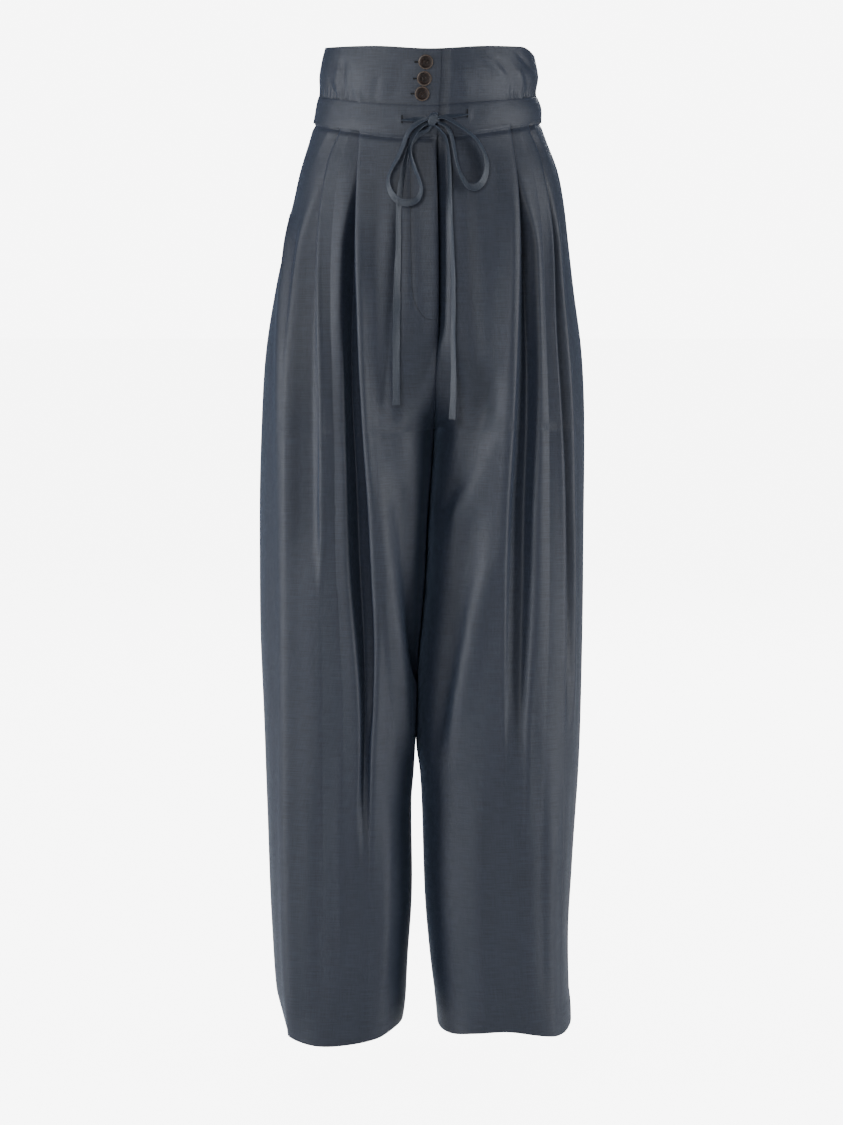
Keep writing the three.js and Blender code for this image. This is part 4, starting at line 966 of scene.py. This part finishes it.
def cloth_uv(middle):
    """Metres along the weft from the centre edge, and the height, as cloth coordinates."""
    step = np.linalg.norm(np.diff(middle, axis=1), axis=-1)
    run = np.concatenate([np.zeros((len(middle), 1)), np.cumsum(step, axis=1)], 1)
    return np.stack([run, middle[..., 2]], -1)


LEG_ROWS = {"front": 276, "back": 214}
TOP_ROWS = {"rows": 10, "share": .012}
# The heights at which the plans are worked out, closer together at the top.
LEVELS = np.r_[np.linspace(.006, -.03, 46)[:-1], np.linspace(-.03, -1.044, 400)]
EDGE_LEVELS = {"top": -.012, "hem": -1.03}
LEG_CLOTH = {}


def leg_panel(side, face):
    px, py = leg_sheets(side, face, LEVELS)
    near_top, near_hem = (np.argmin(np.abs(LEVELS - EDGE_LEVELS[k])) for k in ("top", "hem"))
    top = casing_bottom(face, px[near_top]) + LEG_TOP
    bottom = at(HEM, 1, px[near_hem])
    share, count = TOP_ROWS["share"], TOP_ROWS["rows"]
    t = np.r_[np.linspace(0, share, count)[:-1],
              np.linspace(share, 1, LEG_ROWS[face] - count)][:, None]
    z = top + (bottom - top) * t
    columns = range(px.shape[1])
    x = np.stack([np.interp(-z[:, c], -LEVELS, px[:, c]) for c in columns], 1)
    y = np.stack([np.interp(-z[:, c], -LEVELS, py[:, c]) for c in columns], 1)
    middle = np.stack([x, y, z], -1)
    wall = LEG_WALL + HEM_EXTRA * smooth_step((bottom + HEM_DEPTH - z) / HEM_RAMP)
    hand = 1 if (side == "right") == (face == "front") else -1
    made, outer, away = cloth_shell(f"leg_{face}_{side}_cloth", middle, wall, hand, BODY_SILK,
                                    cloth_uv(middle))
    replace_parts(made, f"leg_{face}_{side}")
    LEG_CLOTH[side, face] = (outer, away, z - bottom)
    return made


def cloth_tree(names):
    """The faces of some pieces, to find where they lie when seen from the front."""
    points, faces = [], []
    for name in names:
        mesh = bpy.data.objects[name].data
        start = len(points)
        points += [v.co.copy() for v in mesh.vertices]
        faces += [tuple(start + i for i in p.vertices) for p in mesh.polygons]
    return BVHTree.FromPolygons(points, faces)


def laid_on(tree, line, lift):
    """Places of x and z on the cloth as seen from the front, lifted off it a little."""
    rows = []
    for x, z in line:
        place, normal, _, _ = tree.ray_cast(Vector((x, -.3, z)), Vector((0, 1, 0)))
        rows.append(place + normal * lift)
    return np.array([tuple(p) for p in rows])


# The cut of each leg as it shows: its greatest width, its length, and its area.
LEG_CUT = {
    ("right", "front"): (.375, 1.05, .355), ("right", "back"): (.335, 1.05, .310),
    ("left", "front"): (.355, 1.05, .334), ("left", "back"): (.330, 1.05, .305),
}
# The stitching that holds the fly's facing, seen from the front, and the tack at its end.
FLY_ROW = [(-.0219, -.016), (-.0219, -.055), (-.0219, -.09), (-.0214, -.12), (-.0209, -.151),
           (-.0198, -.183), (-.0154, -.201), (-.0066, -.214), (.0020, -.2165), (.0078, -.2160)]
BAR_TACK = [(.0076, -.2125), (.0076, -.2195)]
STITCH_LIFT = .0001
FLY_STITCH = {"pace": .0022, "length": .0021, "width": .0006}
TACK_STITCH = {"pace": .0005, "length": .0013, "width": .0006}
HEM_STITCH = {"pace": .0036, "length": .0022, "width": .00034}


def hem_line(outer, away, height):
    """The place of the hem's stitches on each column of a panel."""
    face = (outer + away * STITCH_LIFT)[::-1]
    rise = height[::-1]
    return np.array([[np.interp(HEM_DEPTH, rise[:, c], face[:, c, k]) for k in range(3)]
                     for c in range(outer.shape[1])])


def fly_sewing():
    """The row that shows on the wearer's right front, and its bar tack."""
    tree = cloth_tree(["leg_front_right_cloth"])
    line = through([(x, 0, z) for x, z in FLY_ROW], 12)
    # The row is sewn in thread darkened as painted shade of its groove.
    row = sew("fly_stitches", [laid_on(tree, line[:, (0, 2)], STITCH_LIFT)],
              thread=GROOVE_SHADE_THREAD, **FLY_STITCH)
    tack = sew("bar_tack", [laid_on(tree, np.linspace(*BAR_TACK, 9), STITCH_LIFT * 2)],
               **TACK_STITCH)
    return [row, tack]


for (side, face), (width, length, area) in LEG_CUT.items():
    made = leg_panel(side, face)
    sewn = [sew(f"hem_stitches_{face}_{side}", [hem_line(*LEG_CLOTH[side, face])],
                **HEM_STITCH)]
    if (side, face) == ("right", "front"):
        sewn += fly_sewing()


# The fly: a plain strip of the silk behind the opening, sewn to the wearer's left front.
SHIELD = {"top": -.0156, "bottom": -.211, "reach": .03, "tuck": .01, "depth": .0015,
          "rows": 96, "columns": 24, "wave": .0003, "flat": (.042, .195)}


def fly_shield():
    z = np.linspace(SHIELD["top"], SHIELD["bottom"], SHIELD["rows"])
    edge_x, edge_y = centre_edge("right", "front", z)
    reach = np.linspace(-SHIELD["reach"], SHIELD["tuck"], SHIELD["columns"])
    x = edge_x[:, None] + reach
    y = (edge_y - fly_height("left", z, 0))[:, None] + SHIELD["depth"] + 0 * reach
    y = y + SHIELD["wave"] * np.sin(z[:, None] * 90 + reach * 60)
    middle = np.stack([x, y, np.broadcast_to(z[:, None], x.shape)], -1)
    made, _, _ = cloth_shell("fly_shield_cloth", middle, LEG_WALL, -1, BODY_SILK,
                             cloth_uv(middle))
    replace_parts(made, "fly_shield")
    return made


fly_shield()


# The corselet: a high shaped waist of doubled silk, plain at its turned top edge. The wearer's
# right front laps over the left one, and small gathers are caught in its lower seam at the sides.
CORSELET_WALL = .0014
CORSELET_ROWS = 44
WAIST_RADIUS = .12
SIDE_GAP = .00008
OVERLAP = {"reach": .028, "cover": .003, "ramp": .009, "gap": .0005}
TOP_EDGE = table([  # x, z
    (-.12, .0815), (-.06, .0825), (0, .0795), (.06, .0825), (.116, .082),
])
CASING_TOP = table([  # x, z
    (-.124, .0265), (-.066, .02), (0, .0175), (.054, .021), (.12, .0265),
])
BACK_TOP = .0795
WAIST_ROUND = .0015
# The small gathers caught in its lower seam at the sides, and the waves all round.
SIDE_GATHERS = {"from": .62, "over": .2, "top": .046, "fade": .026, "height": .0006,
                "waves": (900, 1460), "share": .6}
CORSELET_WAVE = .0004
BACK_GATHERS = {"height": .0008, "waves": 130, "top": .05, "fade": .03}
CREASE_FADE = {"past": (.004, .006), "over": .012}
# Shallow creases of the fronts, as heights along their paths seen from the front.
CORSELET_CREASES = [  # width, height, path of z, x
    (.0040, -.0013, [(.068, -.0960), (.045, -.0965), (.020, -.0930)]),
    (.0035, .0010, [(.062, -.1010), (.040, -.1030), (.022, -.0990)]),
    (.0035, -.0014, [(.046, -.1110), (.034, -.1080), (.018, -.1020)]),
    (.0030, -.0009, [(.040, -.0880), (.028, -.0865), (.018, -.0840)]),
    (.0040, .0010, [(.036, -.0800), (.026, -.0790), (.017, -.0760)]),
    (.0060, .0011, [(.074, .0560), (.060, .0700), (.050, .0800)]),
    (.0055, -.0013, [(.070, .0760), (.052, .0860), (.030, .0930)]),
    (.0040, .0012, [(.060, .0960), (.042, .1000), (.024, .1020)]),
    (.0035, -.0015, [(.050, .1040), (.036, .1070), (.022, .1080)]),
    (.0040, -.0012, [(.076, .0960), (.066, .1040), (.056, .1120)]),
    (.0090, -.0008, [(.070, -.0300), (.045, -.0360), (.025, -.0420)]),
    (.0090, .0008, [(.060, .0300), (.045, .0360), (.025, .0380)]),
    (.0050, -.0008, [(.052, -.0560), (.036, -.0600), (.020, -.0620)]),
]


# The top edge falls away at the wearer's left side, where the corner has sunk.
TOP_CORNER = {"start": .1, "end": .118, "drop": .014}


def casing_top(face, x):
    if face == "front":
        return at(CASING_TOP, 1, x)
    return BACK_CASING["top"] - BACK_CASING["dip"] * (1 - (x / WAIST_HALF) ** 2)


def waist_point(z, angle, out):
    """A point of the waist at an angle from the centre front, towards the viewer's right."""
    sine, cosine = np.sin(angle), np.cos(angle)
    edge = np.where(sine < 0, at(FORM, LEFT, z), at(FORM, RIGHT, z))
    half = np.abs(edge - WAIST_CENTRE) + out
    depth = np.abs(np.where(cosine > 0, at(FORM, FRONT, z), at(FORM, BACK, z))) + out
    return np.stack([WAIST_CENTRE + half * sine, -depth * cosine], -1)


def angle_at_x(z, x):
    edge = np.where(x < WAIST_CENTRE, at(FORM, LEFT, z), at(FORM, RIGHT, z))
    return np.arcsin(np.clip((x - WAIST_CENTRE) / np.abs(edge - WAIST_CENTRE), -1, 1))


def centre_x(z):
    return at(CENTRE_FRONT, 1, z)


def waist_panel(name, part, wall, rows, columns, level, puff):
    """One panel of the waist between its edges in height and in angle, with its own relief."""
    seam = math.pi / 2 - SIDE_GAP / WAIST_RADIUS
    guess_top, guess_bottom = level(part, 0.)
    t = np.linspace(0, 1, rows)[:, None]
    guess = guess_top + (guess_bottom - guess_top) * t
    if part == "front_right":
        start, end, under = angle_at_x(guess, centre_x(guess)), -seam + 0 * guess, 0
    elif part == "front_left":
        start, end = angle_at_x(guess, centre_x(guess) - OVERLAP["reach"]), seam + 0 * guess
        under = wall + OVERLAP["gap"]
    else:
        start, end, under = math.pi - seam + 0 * guess, math.pi + seam + 0 * guess, 0
    angle = start + (end - start) * np.linspace(0, 1, columns)
    x = waist_point(np.broadcast_to(guess, angle.shape), angle, 0)[..., 0]
    top, bottom = level(part, x)
    z = top + (bottom - top) * t
    tuck = under * (1 - smooth_step((x - centre_x(z) - OVERLAP["cover"]) / OVERLAP["ramp"]))
    out = puff(part, x, z, t, angle) - tuck
    side = np.minimum(np.abs(np.sin(angle) - 1), np.abs(np.sin(angle) + 1))
    near = np.exp(-(np.sqrt(np.maximum(2 * side, 0)) * WAIST_RADIUS / SEAM_WIDTH) ** 2)
    place = waist_point(z, angle, out - SEAM_DEPTH * near)
    middle = np.concatenate([place, z[..., None]], -1)
    hand = 1 if part == "front_right" else -1
    return cloth_shell(name, middle, wall, hand, BODY_SILK, cloth_uv(middle))


def corselet_level(part, x):
    face = "back" if part == "back" else "front"
    reach = TOP_CORNER["end"] - TOP_CORNER["start"]
    sunk = TOP_CORNER["drop"] * np.clip((x - TOP_CORNER["start"]) / reach, 0, 1) ** 2
    top = BACK_TOP if face == "back" else at(TOP_EDGE, 1, x)
    return top - sunk, casing_top(face, x) - .001


def corselet_puff(part, x, z, t, angle):
    out = WAIST_ROUND / 2 * np.sin(math.pi * np.clip(t * 1.05, 0, 1))
    run = angle * WAIST_RADIUS
    given = SIDE_GATHERS
    gathered = smooth_step((np.abs(np.sin(angle)) - given["from"]) / given["over"])
    gathered = gathered * smooth_step((given["top"] - z) / given["fade"])
    first, second = given["waves"]
    out = out + given["height"] * gathered * (np.sin(run * first)
                                              + given["share"] * np.sin(run * second + 1))
    out = out + CORSELET_WAVE * np.sin(run * 70 + z * 60) * np.sin(z * 75 + 1)
    if part == "back":
        lower = smooth_step((BACK_GATHERS["top"] - z) / BACK_GATHERS["fade"])
        return out + BACK_GATHERS["height"] * np.sin(run * BACK_GATHERS["waves"]) * lower
    (above, below), fade = CREASE_FADE["past"], CREASE_FADE["over"]
    for width, rise, path in CORSELET_CREASES:
        rows = table(path)
        top, bottom = rows[-1, 0], rows[0, 0]
        ends = smooth_step((top + above - z) / fade) * smooth_step((z - bottom + below) / fade)
        out = out + rise * ends * np.exp(-((x - at(rows, 1, z)) / width) ** 2)
    return out


CORSELET_CUT = {  # columns, greatest width, length, area
    "front_right": (130, .192, .062, .0112), "front_left": (156, .196, .062, .0110),
    "back": (200, .351, .057, .0187),
}
for part, (columns, width, length, area) in CORSELET_CUT.items():
    made, _, _ = waist_panel(f"corselet_{part}_cloth", part, CORSELET_WALL, CORSELET_ROWS,
                             columns, corselet_level, corselet_puff)
    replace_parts(made, f"corselet_{part}")


# The casing: a band of doubled silk sewn over the joint of corselet and legs, topstitched along
# both edges, with the tie running inside it and a worked slit on each side of the centre.
CASING_WALL = .0019
CASING_PROUD = .0006
CASING_RADIUS = .125
CASING_GRID = 30
CASING_WAVES = {"fine": .00009, "broad": .0002}
CASING_ROWS = (2, -3)
CASING_STITCH = {"pace": .0030, "length": .0021, "width": .0003}
SLITS = {"right": (-.031, .0024), "left": (.0405, .0086)}
SLIT_RING = {"long": .0052, "wide": .0012, "points": 49}
SLIT_RISE = {"height": .0009, "wide": .0045, "long": .008}
SLIT_STITCH = {"pace": .00055, "length": .0009, "width": .0005}
SHADE_FACE = {"share": .93, "wide": .55, "lift": .00012, "deep": .0004, "points": 13}


def casing_level(part, x):
    face = "back" if part == "back" else "front"
    return casing_top(face, x), casing_bottom(face, x)


def casing_puff(part, x, z, t, angle):
    run = angle * CASING_RADIUS
    crown = np.sin(math.pi * t)
    out = CASING_PROUD + WAIST_ROUND * .7 * crown ** .5
    out = out + CASING_WAVES["fine"] * np.sin(run * 190 + 3 * t) * crown
    out = out + CASING_WAVES["broad"] * np.sin(run * 32 + 1) * np.sin(math.pi * t * 2)
    if part != "back":
        for slit_x, slit_z in SLITS.values():
            near = np.exp(-((x - slit_x) / SLIT_RISE["wide"]) ** 2
                          - ((z - slit_z) / SLIT_RISE["long"]) ** 2)
            out = out + SLIT_RISE["height"] * near
    return out


SHADE = surface("slit_shade", Base_Color=(.004, .005, .007, 1), Roughness=.9)[0]


def worked_slit(name, tree, middle, half_long, half_wide, upright):
    """A slit with a ring of close stitches round it, dark inside."""
    def laid(pairs, lift):
        """Places of pairs of lengths along and across the slit, on the cloth."""
        return laid_on(tree, [(middle[0] + (w if upright else u), middle[1] + (u if upright else w))
                              for u, w in pairs], lift)

    turns = np.linspace(0, 2 * math.pi, SLIT_RING["points"])
    ring = [(half_long * math.copysign(abs(math.cos(a)) ** .6, math.cos(a)),
             half_wide * math.sin(a)) for a in turns]
    sew(name + "_stitches", [laid(ring, STITCH_LIFT)], **SLIT_STITCH)
    reach, edge = half_long * SHADE_FACE["share"], half_wide * SHADE_FACE["wide"]
    n = SHADE_FACE["points"]
    rows = [laid([(u, side * edge) for u in np.linspace(-reach, reach, n)], SHADE_FACE["lift"])
            for side in (-1, 1)]
    back = [row + (0, SHADE_FACE["deep"], 0) for row in rows]
    faces = [(i, i + n, i + n + 1, i + 1) for i in range(n - 1)]
    faces += [(i + 2 * n, i + 2 * n + 1, i + 3 * n + 1, i + 3 * n) for i in range(n - 1)]
    faces += [(i, i + 1, i + 2 * n + 1, i + 2 * n) for i in range(n - 1)]
    faces += [(i + n, i + 3 * n, i + 3 * n + 1, i + n + 1) for i in range(n - 1)]
    faces += [(0, 2 * n, 3 * n, n), (n - 1, 2 * n - 1, 4 * n - 1, 3 * n - 1)]
    if upright:
        faces = [face[::-1] for face in faces]
    on_body(piece(name, np.concatenate(rows + back), faces, SHADE))


CASING_CUT = {  # columns, greatest width, length, area
    "front_right": (140, .190, .034, .0062), "front_left": (166, .197, .034, .0062),
    "back": (210, .350, .031, .0107),
}
for part, (columns, width, length, area) in CASING_CUT.items():
    made, outer, away = waist_panel(f"casing_{part}_cloth", part, CASING_WALL, CASING_GRID,
                                    columns, casing_level, casing_puff)
    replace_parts(made, f"casing_{part}")
    face = outer + away * STITCH_LIFT
    rows = sew(f"casing_stitches_{part}", [face[k] for k in CASING_ROWS], **CASING_STITCH)

CASING_FACE = cloth_tree(["casing_front_right_cloth", "casing_front_left_cloth"])
for side, (x, z) in SLITS.items():
    worked_slit(f"tie_slit_{side}", CASING_FACE, (x, z), SLIT_RING["long"], SLIT_RING["wide"],
                True)


# The buttons: three discs of dark horn with a polished rim, sewn to the left front with brown
# thread through four holes, each in a worked buttonhole of the right front.
BUTTON = {"radius": .0082, "hole": .00085, "spread": .0018, "sides": 64}
HOLE_CUT = {"sides": 16, "reach": (.002, -.006)}
BUTTON_TURN = (.3, -.25, .9)
BUTTON_PROFILE = [  # distance from the rim, height: both in metres
    (.0012, 0), (.0004, .0002), (0, .0009), (0, .0021), (.0002, .0028), (.0008, .0032),
    (.0015, .0032), (.0021, .0029), (.0027, .0021), (.0036, .0018), (.0060, .0017),
]
HORN_TONES = ((.0065, .0032, .0026, 1), (.026, .0115, .0075, 1))
# The colour of a painted highlight along the raised rim.
HORN_RIM_HIGHLIGHT = (.155, .125, .105, 1)
BROWN_THREAD = ((.012, .008, .006, 1), (.04, .027, .02, 1))
BAR_THREAD = {"radius": .00026, "apart": .00024, "low": .0018, "crown": .0007}
HOLE_REACH = {"start": .0078, "end": .0128, "wide": .0015}


def horn_material():
    """Dark streaked horn, matt in its dish, with a glossier rim painted paler as a painted
    highlight. U is the radius.
    """
    made, tree, ports = surface("dark_horn", Specular_IOR_Level=.35)
    link = tree.links.new
    where = node(tree, "ShaderNodeTexCoord").outputs["Object"]
    streaks = node(tree, "ShaderNodeTexNoise", {"Vector": where}, Scale=260, Detail=4,
                   Distortion=1.6).outputs[0]
    place = node(tree, "ShaderNodeUVMap", uv_map="cloth").outputs[0]
    radius = node(tree, "ShaderNodeSeparateXYZ", {0: place}).outputs["X"]
    rim = node(tree, "ShaderNodeMapRange", {0: radius}, From_Min=.80, From_Max=.87).outputs[0]
    # Painted highlight: the rim turns paler in streaks.
    rim_highlight = maths(tree, "MULTIPLY", rim, streaks)
    horn = ramp(tree, streaks, (.38, HORN_TONES[0]), (.68, HORN_TONES[1]))
    colour = node(tree, "ShaderNodeMix", data_type="RGBA")
    for port, source in (("Factor", rim_highlight), ("A", horn)):
        link(source, colour.inputs[port])
    colour.inputs["B"].default_value = HORN_RIM_HIGHLIGHT
    gloss = node(tree, "ShaderNodeMapRange", {0: rim}, To_Min=.62, To_Max=.22)
    link(colour.outputs["Result"], ports["Base Color"])
    link(gloss.outputs[0], ports["Roughness"])
    return made


HORN = horn_material()
BROWN = thread_material("brown_thread", BROWN_THREAD)


def button_body(name, middle, turn):
    """One button, facing the front, its four holes cut through it."""
    sides, radius = BUTTON["sides"], BUTTON["radius"]
    points, uv = [], []
    for inset, height in BUTTON_PROFILE:
        r = radius - inset
        for j in range(sides):
            a = 2 * math.pi * j / sides
            points.append((r * math.cos(a), -height, r * math.sin(a)))
            uv.append((r / radius, j / sides))
    body = piece(name, points, tube_faces(len(BUTTON_PROFILE), sides), HORN, uv)
    spread, hole, count = BUTTON["spread"], BUTTON["hole"], HOLE_CUT["sides"]
    points, faces = [], []
    for i, j in ((1, 1), (1, -1), (-1, 1), (-1, -1)):
        faces += tube_faces(2, count, len(points))
        for y in HOLE_CUT["reach"]:
            for k in range(count):
                a = 2 * math.pi * k / count
                points.append((i * spread + hole * math.cos(a), y,
                               j * spread + hole * math.sin(a)))
    cutter = piece(name + "_cutter", points, faces, HORN)
    holes = body.modifiers.new("holes", "BOOLEAN")
    holes.operation = "DIFFERENCE"
    holes.solver = "EXACT"
    holes.object = cutter
    graph = bpy.context.evaluated_depsgraph_get()
    pierced = bpy.data.meshes.new_from_object(body.evaluated_get(graph))
    body.modifiers.clear()
    spare = body.data
    body.data = pierced
    bpy.data.meshes.remove(spare)
    bpy.data.objects.remove(cutter)
    pierced.name = name
    placed = Matrix.Translation(middle) @ Matrix.Rotation(turn, 4, "Y")
    pierced.transform(placed)
    pierced.shade_smooth()
    pierced.set_sharp_from_angle(angle=math.radians(35))
    return body, placed


def strands(name, lines, radius, material, sides=6):
    """Round threads along lines, as one mesh."""
    points, faces = [], []
    for line in lines:
        line = np.asarray(line, float)
        along = unit(np.gradient(line, axis=0))
        first = unit(np.cross(along, (.31, .2, .93)))
        second = np.cross(along, first)
        start = len(points)
        for j in range(sides):
            a = 2 * math.pi * j / sides
            ring = line + (first * math.cos(a) + second * math.sin(a)) * radius
            points += ring.tolist()
        count = len(line)
        faces += [(start + j * count + i, start + j * count + i + 1,
                   start + (j + 1) % sides * count + i + 1, start + (j + 1) % sides * count + i)
                  for j in range(sides) for i in range(count - 1)]
        faces.append(tuple(start + j * count for j in range(sides)))
        faces.append(tuple(start + j * count + count - 1 for j in range(sides))[::-1])
    return on_body(piece(name, points, faces, material))


CORSELET_FACE = cloth_tree(["corselet_front_right_cloth"])
for count, turn in enumerate(BUTTON_TURN, 1):
    low, high = (np.array(corner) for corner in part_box(f"button_{count}"))
    back = Vector(((low[0] + high[0]) / 2, high[1], (low[2] + high[2]) / 2))
    body, placed = button_body(f"horn_button_{count}", back, turn)
    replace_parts(on_body(body), f"button_{count}")
    spread = BUTTON["spread"]
    bars = []
    for side in (-1, 1):
        for strand in (-BAR_THREAD["apart"], BAR_THREAD["apart"]):
            arc = [(side * spread + strand,
                    -BAR_THREAD["low"] - BAR_THREAD["crown"] * (1 - u ** 6), spread * u)
                   for u in np.linspace(-1, 1, 11)]
            bars.append([tuple(placed @ Vector(place)) for place in arc])
    strands(f"button_thread_{count}", bars, BAR_THREAD["radius"], BROWN)
    middle = (HOLE_REACH["start"] + HOLE_REACH["end"]) / 2
    worked_slit(f"buttonhole_{count}", CORSELET_FACE, (back.x - middle, back.z),
                (HOLE_REACH["end"] - HOLE_REACH["start"]) / 2, HOLE_REACH["wide"], False)


# Light and floor: a plain pale studio with soft light from the front and both sides.
FLOOR_Z = -1.1
FLOOR_REACH = 14
PAPER = (.86, .86, .86, 1)
WHITE = (1, 1, 1, 1)
FLOOR_GLOW = {"seen": 7, "lit": .05}
AIR_GLOW = {"seen": 7.5, "lit": .06}
LIGHTS = [  # name, place, target, size, watts
    ("front_softbox", (-1.1, -3.2, .9), (0, 0, -.6), (1.4, 1.4), 56),
    ("left_softbox", (-2.7, -.7, 0), (0, 0, -.6), (.8, 2.2), 63),
    ("right_softbox", (2.7, -.8, 0), (0, 0, -.6), (.8, 2.2), 59),
    ("back_softbox", (.6, 3.4, 1.3), (0, 0, -.5), (1.6, 1.6), 75),
]


def seen_strength(tree, seen, lit):
    """A strength that is higher where the camera looks straight at a thing than in its light."""
    path = node(tree, "ShaderNodeLightPath")
    return maths(tree, "MULTIPLY_ADD", path.outputs["Is Camera Ray"], seen, lit)


def add_floor():
    """Pale matt paper that stays light under the garment."""
    made, tree, ports = surface("studio_paper", Base_Color=PAPER, Roughness=.9,
                                Emission_Color=WHITE)
    tree.links.new(seen_strength(tree, **FLOOR_GLOW), ports["Emission Strength"])
    r = FLOOR_REACH
    corners = [(x, y, FLOOR_Z) for x, y in ((-r, -r), (r, -r), (r, r), (-r, r))]
    piece("studio_floor", corners, [(0, 1, 2, 3)], made)


def add_air():
    """The same pale tone all round the floor."""
    world = bpy.data.worlds.new("studio")
    world.use_nodes = True
    air = world.node_tree.nodes["Background"].inputs
    air["Color"].default_value = WHITE
    world.node_tree.links.new(seen_strength(world.node_tree, **AIR_GLOW), air["Strength"])
    bpy.context.scene.world = world


def add_light(name, place, target, size, power):
    lamp = bpy.data.lights.new(name, "AREA")
    lamp.shape = "RECTANGLE"
    lamp.size, lamp.size_y = size
    lamp.energy = power
    made = bpy.data.objects.new(name, lamp)
    made.location = place
    made.rotation_euler = (Vector(target) - Vector(place)).to_track_quat("-Z", "Y").to_euler()
    bpy.context.scene.collection.objects.link(made)


add_floor()
for light in LIGHTS:
    add_light(*light)
add_air()
